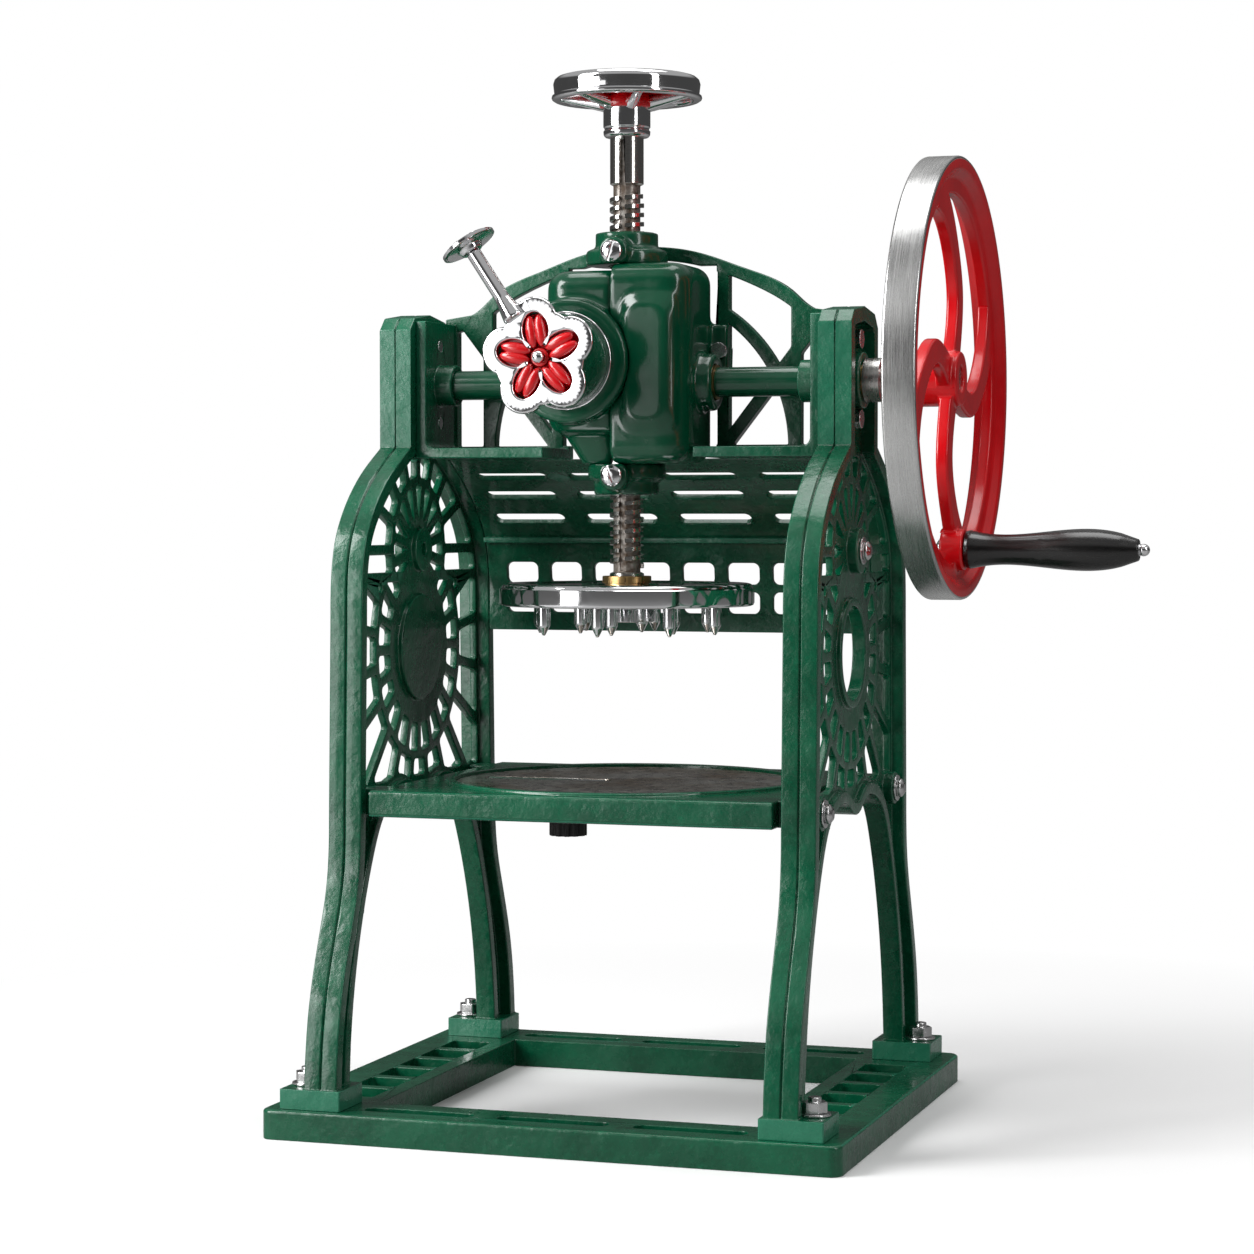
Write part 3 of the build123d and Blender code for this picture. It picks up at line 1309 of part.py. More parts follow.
def side_fasteners():
    seat = frame_outer - screw_washer[1]
    washers = []
    screws = []
    for y in (-table_screw_y, table_screw_y):
        washer, screw = side_screw(y, screw_z, seat, seat - web_inner + 14)
        washers += [washer, mirror(washer, Plane.YZ)]
        screws += [screw, mirror(screw, Plane.YZ)]
    boss_washer, boss_screw = side_screw(0, crown_z, seat, seat - web_inner)
    bolts = []
    head_r, head_t = yoke_bolt_head
    for rise in yoke_bolt_rise:
        z = shoulder_height + rise
        bolt = round_x(head_r, web_outer, web_outer + head_t, 0, z)
        bolt = bolt + round_x(screw_shank, yoke_half - yoke_flange, web_outer, 0, z)
        bolts += [bolt, mirror(bolt, Plane.YZ)]
    return {"table_washers": group(washers), "table_screws": group(screws), "boss_washer": boss_washer,
            "boss_screw": boss_screw, "yoke_bolts": group(bolts)}


# ---------------------------------------------------------------- build
def build():
    nodes = {"base_plate": base_plate()}
    nodes.update(side_frames())
    nodes["shaving_table"] = shaving_table()
    nodes["wear_plate"] = wear_plate()
    nodes["shaving_blade"] = shaving_blade()
    nodes["blade_screws"] = blade_screws()
    nodes["blade_carrier"] = blade_carrier()
    nodes["guide_pins"] = guide_pins()
    nodes["blade_adjuster"] = blade_adjuster()
    nodes["upper_yoke"] = upper_yoke()
    nodes["back_guard"] = back_guard()
    nodes.update(gear_housing())
    nodes.update(bearing_caps())
    nodes["cap_screws"] = cap_screws()
    nodes["lug_screws"] = lug_screws()
    nodes["left_stay"] = left_stay()
    nodes["shaft_tube"] = shaft_tube()
    nodes.update(bushes())
    nodes["crank_shaft"] = crank_shaft()
    nodes["thrust_collar"] = thrust_collar()
    nodes.update(bevel_gears())
    nodes.update(spindle_group())
    nodes.update(feed_wheel_group())
    nodes.update(flower_group())
    nodes["flywheel"] = flywheel()
    nodes.update(handle_group())
    nodes.update(foot_fasteners())
    nodes.update(side_fasteners())
    return nodes


os.makedirs("parts", exist_ok=True)
for name, shape in build().items():
    solids = [Pos(-centre_x, 0, 0) * solid for solid in shape.solids()]
    export_step(group(solids) if len(solids) > 1 else solids[0], f"parts/{name}.step")
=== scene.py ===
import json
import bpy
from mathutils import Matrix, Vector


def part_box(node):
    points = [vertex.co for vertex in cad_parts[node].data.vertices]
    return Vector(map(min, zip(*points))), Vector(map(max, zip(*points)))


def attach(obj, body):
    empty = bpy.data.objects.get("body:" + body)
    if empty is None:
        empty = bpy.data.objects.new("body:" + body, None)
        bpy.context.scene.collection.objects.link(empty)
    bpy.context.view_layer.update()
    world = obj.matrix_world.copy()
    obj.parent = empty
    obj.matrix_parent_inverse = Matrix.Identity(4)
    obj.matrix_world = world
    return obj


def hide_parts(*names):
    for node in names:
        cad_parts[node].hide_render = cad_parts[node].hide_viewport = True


bl_info = {
    "name": "Hand Crank Ice Shaver",
    "version": (1, 0, 0),
    "blender": (4, 5, 0),
    "location": "View3D > Sidebar > Ice Shaver",
    "description": "Dresses a cast iron table-top ice shaver: enamel castings, flywheel, threaded spindle",
    "category": "Object",
}

from math import pi, radians

import bpy
from bpy.props import FloatProperty, FloatVectorProperty, IntProperty, PointerProperty
from mathutils import Matrix, Vector

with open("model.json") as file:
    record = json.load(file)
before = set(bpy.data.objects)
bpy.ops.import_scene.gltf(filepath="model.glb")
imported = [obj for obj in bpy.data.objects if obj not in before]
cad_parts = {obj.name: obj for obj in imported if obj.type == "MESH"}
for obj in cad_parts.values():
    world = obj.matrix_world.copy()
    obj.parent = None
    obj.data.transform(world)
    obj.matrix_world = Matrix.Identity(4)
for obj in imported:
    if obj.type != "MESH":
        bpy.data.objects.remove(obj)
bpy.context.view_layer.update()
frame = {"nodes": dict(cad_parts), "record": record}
NODES = frame["nodes"]

# The machine's own axis, and the places that several pieces share (metres)
SPINDLE_X = sum(corner.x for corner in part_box("feed_spindle")) / 2
SHAFT_Z = sum(corner.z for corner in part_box("crank_shaft")) / 2
FEED_X = sum(corner.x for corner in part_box("feed_drum")) / 2
FEED_Z = sum(corner.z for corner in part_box("feed_drum")) / 2
HUB_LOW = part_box("top_handwheel")[0].z
RIM_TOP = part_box("top_handwheel")[1].z
WHEEL_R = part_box("flywheel")[1].z - SHAFT_Z

# The side frames: middle plane from the spindle, half web, and the ring's half depth, height and lip
FRAME_MID = 0.11125
WEB_HALF = 0.00375
RING_HALF = 0.00675
RING_Z = 0.226
RING_LIP = 0.0265
# The share of its thickness that the web keeps in the skins, and how near counts as on the web or the lip
SLIMMING = 0.5
NEAR_WEB = 0.0002
NEAR_LIP = 0.0006

# The distance under which doubles merge, the melted castings' voxel, and the smooth shading's angle
WELD = 0.000004
VOXEL = 0.0011
SMOOTH_ANGLE = 38

# The camera's place and angles in degrees, the point that the lamps face, and each lamp's name, place,
# width, height and power
CAMERA_PLACE = (SPINDLE_X + 0.4734, -1.4459, 0.2928)
CAMERA_PITCH = 90 - 2.0925
CAMERA_YAW = 18.127
LAMP_AIM = Vector((0, 0, 0.27))
LAMPS = (("left_softbox", (-1.20, -0.95, 1.05), 0.7, 1.2, 34.0),
         ("right_softbox", (1.45, -0.75, 0.95), 0.3, 1.3, 8.0),
         ("top_softbox", (0.0, 0.1, 1.75), 1.2, 0.9, 14.0),
         ("low_strip", (-1.02, -1.43, 0.30), 0.5, 0.9, 8.0),
         ("front_card", (-0.70, -1.75, 0.47), 0.3, 0.3, 0.4))


# ------------------------------------------------------------------ sizes and colours
class IceShaverSizes(bpy.types.PropertyGroup):
    """Sizes that a user would change."""
    edge: FloatProperty(name="Casting edge", description="Width of the worn round on the castings' edges",
                        default=0.0007, min=0.0, max=0.003, subtype="DISTANCE", unit="LENGTH")
    pitch: FloatProperty(name="Thread pitch", description="Rise of the spindle's square thread in one turn",
                         default=0.0045, min=0.001, max=0.01, subtype="DISTANCE", unit="LENGTH")
    root: FloatProperty(name="Thread root", description="Radius at the bottom of the spindle's thread",
                        default=0.0066, min=0.004, max=0.008, subtype="DISTANCE", unit="LENGTH")
    petals: IntProperty(name="Petals", description="Number of petals in the clamp's flower",
                        default=5, min=3, max=8)
    ribs: IntProperty(name="Handwheel ribs", description="Number of ribs under the top handwheel",
                      default=6, min=3, max=12)
    lens: FloatProperty(name="Lens", description="Focal length of the camera in millimetres",
                        default=89.17, min=20.0, max=200.0)


class IceShaverColours(bpy.types.PropertyGroup):
    """Colours that a user would change."""
    green: FloatVectorProperty(name="Green enamel", description="Colour of the castings", subtype="COLOR",
                               size=4, default=(0.0010, 0.072, 0.032, 1.0), min=0.0, max=1.0)
    red: FloatVectorProperty(name="Red enamel", description="Colour of the flywheel and the flower",
                             subtype="COLOR", size=4, default=(0.58, 0.0026, 0.0060, 1.0), min=0.0, max=1.0)
    floor: FloatVectorProperty(name="Floor", description="Colour of the studio floor", subtype="COLOR",
                               size=4, default=(0.86, 0.86, 0.86, 1.0), min=0.0, max=1.0)


def sizes():
    return bpy.context.scene.ice_shaver_sizes


def colours():
    return bpy.context.scene.ice_shaver_colours


# ------------------------------------------------------------------ small helpers
def deselect():
    if bpy.context.object and bpy.context.object.mode != "OBJECT":
        bpy.ops.object.mode_set(mode="OBJECT")
    bpy.ops.object.select_all(action="DESELECT")


def choose(piece):
    deselect()
    piece.select_set(True)
    bpy.context.view_layer.objects.active = piece


def edit(piece):
    choose(piece)
    bpy.ops.object.mode_set(mode="EDIT")
    bpy.ops.mesh.select_mode(type="VERT")
    bpy.ops.mesh.select_all(action="SELECT")


def done():
    bpy.ops.object.mode_set(mode="OBJECT")


def named(name):
    piece = bpy.context.object
    piece.name = name
    piece.data.name = name
    return piece


def put(piece, matrix):
    """Move a piece to its place and leave its object at the origin."""
    choose(piece)
    piece.matrix_world = matrix @ piece.matrix_world
    bpy.ops.object.transform_apply(location=True, rotation=True, scale=True)
    return piece


def merge(pieces, name):
    deselect()
    for piece in pieces:
        piece.select_set(True)
    bpy.context.view_layer.objects.active = pieces[0]
    if len(pieces) > 1:
        bpy.ops.object.join()
    return named(name)


def copy_of(piece, matrix):
    twin = piece.copy()
    twin.data = piece.data.copy()
    bpy.context.scene.collection.objects.link(twin)
    return put(twin, matrix)


def apply_modifier(piece, kind, **values):
    choose(piece)
    modifier = piece.modifiers.new(kind.lower(), kind)
    for key, value in values.items():
        setattr(modifier, key, value)
    bpy.ops.object.modifier_apply(modifier=modifier.name)
    return piece


def round_edges(piece, width, segments=2, angle=32):
    if width > 0:
        apply_modifier(piece, "BEVEL", width=width, segments=segments, limit_method="ANGLE",
                       angle_limit=radians(angle), use_clamp_overlap=False)
    choose(piece)
    bpy.ops.object.shade_smooth_by_angle(angle=radians(SMOOTH_ANGLE))
    return apply_modifier(piece, "WEIGHTED_NORMAL", mode="FACE_AREA", weight=80, keep_sharp=True)


def clean(piece):
    """Merge a piece's doubles and turn all its faces outwards."""
    edit(piece)
    bpy.ops.mesh.remove_doubles(threshold=WELD)
    bpy.ops.mesh.normals_make_consistent(inside=False)
    done()
    return piece


def cut(pieces, name, place, size):
    """Cut one box out of the pieces."""
    bpy.ops.object.select_all(action="DESELECT")
    bpy.ops.mesh.primitive_cube_add(size=1.0, location=place)
    cutter = named(name)
    edit(cutter)
    bpy.ops.transform.resize(value=size)
    done()
    put(cutter, Matrix.Identity(4))
    for piece in pieces:
        apply_modifier(piece, "BOOLEAN", operation="DIFFERENCE", object=cutter, solver="EXACT")
    bpy.data.objects.remove(cutter)


def turned(name, profile, sides=72, hollow=False):
    """A turned piece about Z: a circle carried along (height, radius) by extrude and resize."""
    height, radius = profile[0]
    bpy.ops.object.select_all(action="DESELECT")
    bpy.ops.mesh.primitive_circle_add(vertices=sides, radius=radius, location=(0, 0, height),
                                      fill_type="NOTHING" if hollow else "NGON")
    piece = named(name)
    put(piece, Matrix.Identity(4))
    edit(piece)
    steps = profile[1:] + (profile[:1] if hollow else [])
    for next_height, next_radius in steps:
        bpy.ops.mesh.extrude_region_move(TRANSFORM_OT_translate={"value": (0, 0, next_height - height)})
        scale = next_radius / radius
        if abs(scale - 1) > 1e-6:
            bpy.ops.transform.resize(value=(scale, scale, 1), center_override=(0, 0, next_height))
        height, radius = next_height, next_radius
    done()
    return clean(piece)


def node_copy(node, name):
    """A copy of a CAD node's mesh, in an object of its own."""
    mesh = NODES[node].data.copy()
    mesh.name = name
    piece = bpy.data.objects.new(name, mesh)
    bpy.context.scene.collection.objects.link(piece)
    return piece


def welded_copy(node, name):
    piece = node_copy(node, name)
    edit(piece)
    bpy.ops.mesh.remove_doubles(threshold=WELD)
    done()
    return piece


def cast_copy(node, name, width, segments=2, angle=32):
    """A copy of a CAD node as one clean skin with softened edges."""
    piece = welded_copy(node, name)
    round_edges(piece, width, segments, angle)
    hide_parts(node)
    return piece


def squeeze(piece, middle, chosen):
    """Bring the chosen vertices of a casting nearer to its middle plane, across X."""
    deselect()
    for vertex in piece.data.vertices:
        vertex.select = chosen(vertex.co)
    for face in piece.data.polygons:
        face.select = all(piece.data.vertices[i].select for i in face.vertices)
    for line in piece.data.edges:
        line.select = all(piece.data.vertices[i].select for i in line.vertices)
    piece.select_set(True)
    bpy.context.view_layer.objects.active = piece
    bpy.ops.object.mode_set(mode="EDIT")
    bpy.ops.transform.resize(value=(SLIMMING, 1, 1), center_override=(middle, 0, 0))
    done()


def side_casting(node, name, width):
    """A side frame's skin: its web and the ring's lips are slimmer than the solid's."""
    piece = welded_copy(node, name)
    side = 1 if node == "right_side_frame" else -1
    middle = SPINDLE_X + side * FRAME_MID
    squeeze(piece, middle, lambda co: abs(co.x - middle) < WEB_HALF + NEAR_WEB)
    squeeze(piece, middle, lambda co: abs(co.x - middle) < RING_HALF + NEAR_WEB and
            Vector((co.y, co.z - RING_Z)).length < RING_LIP + NEAR_LIP)
    round_edges(piece, width)
    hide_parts(node)
    return piece


def melted_copy(node, name, rounds):
    """A copy of a CAD node with its corners and joins melted round, as a sand casting's are."""
    piece = clean(node_copy(node, name))
    apply_modifier(piece, "REMESH", mode="VOXEL", voxel_size=VOXEL, adaptivity=0.0)
    apply_modifier(piece, "SMOOTH", factor=0.5, iterations=rounds)
    choose(piece)
    bpy.ops.object.shade_smooth()
    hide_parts(node)
    return piece


def dress(piece, body, look):
    """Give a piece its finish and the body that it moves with."""
    piece.data.materials.clear()
    piece.data.materials.append(finish(look))
    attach(piece, body)
    return piece


def skin(node, name, body, look, width, segments=2, angle=32):
    """A softened copy of a CAD node with its finish."""
    return dress(cast_copy(node, name, width, segments, angle), body, look)


def facing_front(x, y, z):
    """Turn a piece made about +Z to look along -Y, at one place."""
    return Matrix.Translation((x, y, z)) @ Matrix.Rotation(pi / 2, 4, "X")


# ------------------------------------------------------------------ finishes
class Finish:
    """A node material on Object coordinates, built step by step."""

    def __init__(self, name, colour, metallic, roughness, coat=0.0, coat_roughness=0.05, specular=0.5):
        self.material = bpy.data.materials.new(name)
        self.material.use_nodes = True
        tree = self.material.node_tree
        self.nodes = tree.nodes
        self.links = tree.links
        self.shader = self.nodes["Principled BSDF"]
        self.shader.inputs["Base Color"].default_value = colour
        self.shader.inputs["Metallic"].default_value = metallic
        self.shader.inputs["Roughness"].default_value = roughness
        self.shader.inputs["Specular IOR Level"].default_value = specular
        self.shader.inputs["Coat Weight"].default_value = coat
        self.shader.inputs["Coat Roughness"].default_value = coat_roughness
        self.place = self.nodes.new("ShaderNodeTexCoord").outputs["Object"]
        self.height = None

    def link(self, out, into):
        self.links.new(out, into)

    def mapped(self, scale):
        node = self.nodes.new("ShaderNodeMapping")
        node.inputs["Scale"].default_value = scale
        self.link(self.place, node.inputs["Vector"])
        return node.outputs["Vector"]

    def noise(self, scale, detail=4.0, roughness=0.55, vector=None):
        node = self.nodes.new("ShaderNodeTexNoise")
        node.inputs["Scale"].default_value = scale
        node.inputs["Detail"].default_value = detail
        node.inputs["Roughness"].default_value = roughness
        self.link(vector or self.place, node.inputs["Vector"])
        return node.outputs["Fac"]

    def ramp(self, value, low, high, first=0.0, last=1.0):
        node = self.nodes.new("ShaderNodeMapRange")
        node.inputs["From Min"].default_value = low
        node.inputs["From Max"].default_value = high
        node.inputs["To Min"].default_value = first
        node.inputs["To Max"].default_value = last
        self.link(value, node.inputs["Value"])
        return node.outputs["Result"]

    def maths(self, kind, a, b=None):
        node = self.nodes.new("ShaderNodeMath")
        node.operation = kind
        for socket, value in zip(node.inputs, (a, b)):
            if value is None:
                continue
            if isinstance(value, (int, float)):
                socket.default_value = value
            else:
                self.link(value, socket)
        return node.outputs[0]

    def mix(self, factor, a, b):
        node = self.nodes.new("ShaderNodeMix")
        node.data_type = "RGBA"
        self.link(factor, node.inputs["Factor"])
        # The Mix node has one A and B pair for each data type: 6 and 7 are the colours
        for index, value in ((6, a), (7, b)):
            if isinstance(value, tuple):
                node.inputs[index].default_value = value
            else:
                self.link(value, node.inputs[index])
        return node.outputs[2]

    def axis(self, name):
        node = self.nodes.new("ShaderNodeSeparateXYZ")
        self.link(self.place, node.inputs["Vector"])
        return node.outputs[name]

    def from_axis(self, first, second, first_at, second_at):
        """Distance from a line that runs along the third axis."""
        a = self.maths("SUBTRACT", self.axis(first), first_at)
        b = self.maths("SUBTRACT", self.axis(second), second_at)
        squares = self.maths("ADD", self.maths("MULTIPLY", a, a), self.maths("MULTIPLY", b, b))
        return self.maths("SQRT", squares)

    def colour(self, out):
        self.link(out, self.shader.inputs["Base Color"])

    def rough(self, out):
        self.link(out, self.shader.inputs["Roughness"])

    def metal(self, out):
        self.link(out, self.shader.inputs["Metallic"])

    def bump(self, out, distance, strength):
        node = self.nodes.new("ShaderNodeBump")
        node.inputs["Distance"].default_value = distance
        node.inputs["Strength"].default_value = strength
        self.link(out, node.inputs["Height"])
        if self.height is not None:
            self.link(self.height, node.inputs["Normal"])
        self.height = node.outputs["Normal"]
        self.link(self.height, self.shader.inputs["Normal"])


def shade(colour, factor):
    return (colour[0] * factor, colour[1] * factor, colour[2] * factor, 1.0)


def cast_green():
    """Gloss enamel over rough cast iron, with a painted highlight: paler green on the convex edges."""
    green = tuple(colours().green)
    # Paler green for the painted highlight on the edges
    painted_highlight_green = (0.030, 0.22, 0.13, 1.0)
    f = Finish("cast_green_enamel", green, 0.0, 0.3, coat=0.35, coat_roughness=0.08, specular=0.35)
    cloud = f.noise(22.0, 5.0, 0.6)
    tint = f.mix(f.ramp(cloud, 0.3, 0.7), shade(green, 0.6), shade(green, 1.3))
    pits = f.ramp(f.noise(300.0, 4.0, 0.65), 0.52, 0.75)
    # Painted highlight: convex edges, found by pointiness, are lightened towards a paler green in the colour
    painted_edge_highlight = f.ramp(f.nodes.new("ShaderNodeNewGeometry").outputs["Pointiness"], 0.53, 0.60, 0.0, 0.75)
    f.colour(f.mix(painted_edge_highlight, f.mix(f.maths("MULTIPLY", pits, 0.4), tint, shade(green, 1.9)), painted_highlight_green))
    f.rough(f.ramp(f.noise(90.0, 5.0, 0.6), 0.3, 0.7, 0.2, 0.36))
    f.bump(f.noise(62.0, 4.0, 0.55), 0.0022, 0.55)
    f.bump(f.noise(330.0, 4.0, 0.6), 0.0003, 0.5)
    return f.material


def smooth_green():
    """The housing's better dressed and smoother enamel."""
    green = tuple(colours().green)
    f = Finish("smooth_green_enamel", green, 0.0, 0.2, coat=0.45, coat_roughness=0.05, specular=0.35)
    tint = f.ramp(f.noise(18.0, 3.0), 0.3, 0.7)
    f.colour(f.mix(tint, shade(green, 0.62), shade(green, 0.95)))
    f.rough(f.ramp(f.noise(120.0, 4.0), 0.3, 0.7, 0.14, 0.28))
    f.bump(f.noise(46.0, 3.0, 0.5), 0.0009, 0.35)
    f.bump(f.noise(300.0, 4.0, 0.6), 0.00014, 0.4)
    return f.material


def gloss_red():
    red = tuple(colours().red)
    f = Finish("gloss_red_enamel", red, 0.0, 0.22, coat=0.5, coat_roughness=0.05)
    f.colour(f.mix(f.ramp(f.noise(30.0, 3.0), 0.3, 0.7), shade(red, 0.85), shade(red, 1.1)))
    f.rough(f.ramp(f.noise(140.0, 4.0), 0.3, 0.7, 0.15, 0.3))
    f.bump(f.noise(80.0, 4.0, 0.5), 0.0004, 0.3)
    return f.material


def wheel_finish():
    """Red enamel inside a turned steel rim."""
    red = tuple(colours().red)
    f = Finish("wheel_red_and_steel", red, 0.0, 0.2)
    away = f.from_axis("Y", "Z", 0.0, SHAFT_Z)
    steel = f.ramp(away, WHEEL_R - 0.0016, WHEEL_R - 0.0012)
    marks = f.noise(1.0, 6.0, 0.7, f.mapped((2600.0, 40.0, 40.0)))
    # The steel rim's colour: fine turning marks, plus broad bright and dark patches that are painted
    # reflection streaks
    painted_streaks = f.ramp(f.noise(11.0, 2.0), 0.38, 0.62)
    marks_and_painted_streaks = f.mix(f.ramp(f.maths("ADD", marks, painted_streaks), 0.3, 1.6), (0.26, 0.26, 0.26, 1.0),
                    (0.84, 0.84, 0.83, 1.0))
    paint = f.mix(f.ramp(f.noise(30.0, 3.0), 0.3, 0.7), shade(red, 0.85), shade(red, 1.1))
    f.colour(f.mix(steel, paint, marks_and_painted_streaks))
    f.metal(steel)
    painted = f.ramp(f.noise(140.0, 4.0), 0.3, 0.7, 0.14, 0.26)
    bare = f.ramp(marks, 0.25, 0.75, 0.2, 0.34)
    f.rough(f.maths("ADD", f.maths("MULTIPLY", painted, f.maths("SUBTRACT", 1.0, steel)),
                    f.maths("MULTIPLY", bare, steel)))
    f.bump(f.noise(90.0, 4.0, 0.5), 0.0004, 0.25)
    return f.material


def chrome():
    f = Finish("polished_chrome", (0.80, 0.80, 0.81, 1.0), 1.0, 0.06)
    f.rough(f.ramp(f.noise(160.0, 4.0), 0.35, 0.7, 0.04, 0.12))
    f.bump(f.noise(38.0, 2.0), 0.0002, 0.18)
    return f.material


def machined(name, colour, low, high, stretch):
    """Turned or ground steel with fine tool marks."""
    f = Finish(name, colour, 1.0, (low + high) / 2)
    marks = f.noise(1.0, 5.0, 0.65, f.mapped(stretch))
    f.colour(f.mix(f.ramp(marks, 0.3, 0.7), shade(colour, 0.82), shade(colour, 1.08)))
    f.rough(f.ramp(marks, 0.3, 0.7, low, high))
    f.bump(marks, 0.00006, 0.4)
    return f.material


def spindle_finish():
    """Nickel on the ridges, brown grease at the root and in the keyway."""
    f = Finish("threaded_nickel", (0.62, 0.60, 0.57, 1.0), 1.0, 0.22)
    away = f.from_axis("X", "Y", SPINDLE_X, 0.0)
    root = sizes().root
    greased = f.maths("SUBTRACT", 1.0, f.ramp(away, root + 0.0002, root + 0.0011))
    patch = f.ramp(f.noise(230.0, 4.0), 0.35, 0.6, 0.55, 1.0)
    dark = f.maths("MULTIPLY", greased, patch)
    f.colour(f.mix(dark, (0.66, 0.64, 0.61, 1.0), (0.075, 0.050, 0.032, 1.0)))
    f.rough(f.ramp(dark, 0.0, 1.0, 0.16, 0.42))
    f.metal(f.ramp(dark, 0.0, 1.0, 1.0, 0.35))
    f.bump(f.noise(300.0, 4.0), 0.00012, 0.4)
    return f.material


def wear_finish():
    f = Finish("worn_plate_steel", (0.40, 0.37, 0.33, 1.0), 1.0, 0.3)
    rings = f.noise(1.0, 5.0, 0.6, f.mapped((160.0, 160.0, 160.0)))
    stain = f.ramp(f.noise(26.0, 5.0, 0.65), 0.4, 0.7)
    f.colour(f.mix(stain, (0.50, 0.48, 0.45, 1.0), (0.24, 0.17, 0.11, 1.0)))
    f.rough(f.ramp(rings, 0.3, 0.7, 0.2, 0.42))
    f.bump(rings, 0.00008, 0.4)
    return f.material


def lacquer():
    f = Finish("black_lacquered_wood", (0.004, 0.004, 0.004, 1.0), 0.0, 0.24, coat=0.35, coat_roughness=0.14)
    grain = f.noise(1.0, 5.0, 0.6, f.mapped((30.0, 420.0, 420.0)))
    f.colour(f.mix(f.ramp(grain, 0.3, 0.7), (0.0025, 0.0025, 0.0025, 1.0), (0.008, 0.0075, 0.007, 1.0)))
    f.rough(f.ramp(grain, 0.3, 0.7, 0.2, 0.3))
    f.bump(grain, 0.00008, 0.3)
    return f.material


def blackened():
    f = Finish("blackened_steel", (0.035, 0.035, 0.038, 1.0), 0.8, 0.45)
    scale = f.noise(140.0, 5.0, 0.6)
    f.colour(f.mix(f.ramp(scale, 0.3, 0.7), (0.02, 0.02, 0.022, 1.0), (0.06, 0.058, 0.055, 1.0)))
    f.rough(f.ramp(scale, 0.3, 0.7, 0.35, 0.6))
    f.bump(scale, 0.0001, 0.4)
    return f.material


def bronze():
    return machined("turned_bronze", (0.48, 0.31, 0.13, 1.0), 0.24, 0.4, (900.0, 60.0, 60.0))


def turned_steel():
    return machined("turned_steel", (0.56, 0.55, 0.53, 1.0), 0.2, 0.36, (900.0, 60.0, 60.0))


def plated():
    return machined("plated_fastener", (0.66, 0.66, 0.66, 1.0), 0.16, 0.3, (240.0, 240.0, 240.0))


def ground_blade():
    return machined("ground_blade", (0.62, 0.62, 0.62, 1.0), 0.14, 0.28, (40.0, 900.0, 900.0))


MAKERS = {"cast": cast_green, "smooth": smooth_green, "red": gloss_red, "wheel": wheel_finish,
          "chrome": chrome, "spindle": spindle_finish, "wear": wear_finish, "wood": lacquer,
          "black": blackened, "bronze": bronze, "steel": turned_steel, "plated": plated,
          "blade": ground_blade}
FINISH_OF_SLOT = {"green_enamel": "cast", "red_enamel": "red", "machined_steel": "steel",
                  "chrome_plate": "chrome", "wear_steel": "wear", "bright_fastener": "plated",
                  "blade_steel": "blade", "blue_steel": "black", "bronze": "bronze",
                  "satin_black": "wood"}
made = {}


def finish(look):
    """The material of one look. Each is made once."""
    if look not in made:
        made[look] = MAKERS[look]()
    return made[look]


# ------------------------------------------------------------------ operators
class ICESHAVER_OT_node_finishes(bpy.types.Operator):
    """Give every carried CAD node its procedural finish."""
    bl_idname = "iceshaver.node_finishes"
    bl_label = "Node Finishes"

    def execute(self, context):
        for part in frame["record"]["subparts"]:
            node = NODES[part["node"]]
            node.data.materials.clear()
            node.data.materials.append(finish(FINISH_OF_SLOT[part["material_slot"]]))
        return {"FINISHED"}


class ICESHAVER_OT_castings(bpy.types.Operator):
    """Skin the green castings with softened, enamelled edges."""
    bl_idname = "iceshaver.castings"
    bl_label = "Enamelled Castings"

    def execute(self, context):
        edge = sizes().edge
        rough = {"base_plate": edge * 0.6, "left_side_frame": edge, "right_side_frame": edge,
                 "shaving_table": edge, "upper_yoke": edge, "back_guard": edge * 0.8,
                 "feed_drum": edge * 0.7}
        for node, width in rough.items():
            maker = side_casting if node.endswith("side_frame") else cast_copy
            piece = maker(node, "cast_" + node, width)
            body = "lock" if node == "feed_drum" else "frame"
            dress(piece, body, "cast")
        melted = {"housing_left": 9, "housing_right": 14, "top_bearing_cap": 5, "bottom_bearing_cap": 5}
        for node, rounds in melted.items():
            piece = melted_copy(node, "melted_" + node, rounds)
            dress(piece, "frame", "smooth")
        for node in ("left_stay", "shaft_tube"):
            skin(node, "dressed_" + node, "frame", "smooth", 0.0003, 3)
        return {"FINISHED"}


class ICESHAVER_OT_flywheel(bpy.types.Operator):
    """Skin the flywheel: red web and spokes inside a bright turned rim."""
    bl_idname = "iceshaver.flywheel"
    bl_label = "Flywheel"

    def execute(self, context):
        skin("flywheel", "flywheel_casting", "crank", "wheel", 0.0012, 3, 28)
        return {"FINISHED"}


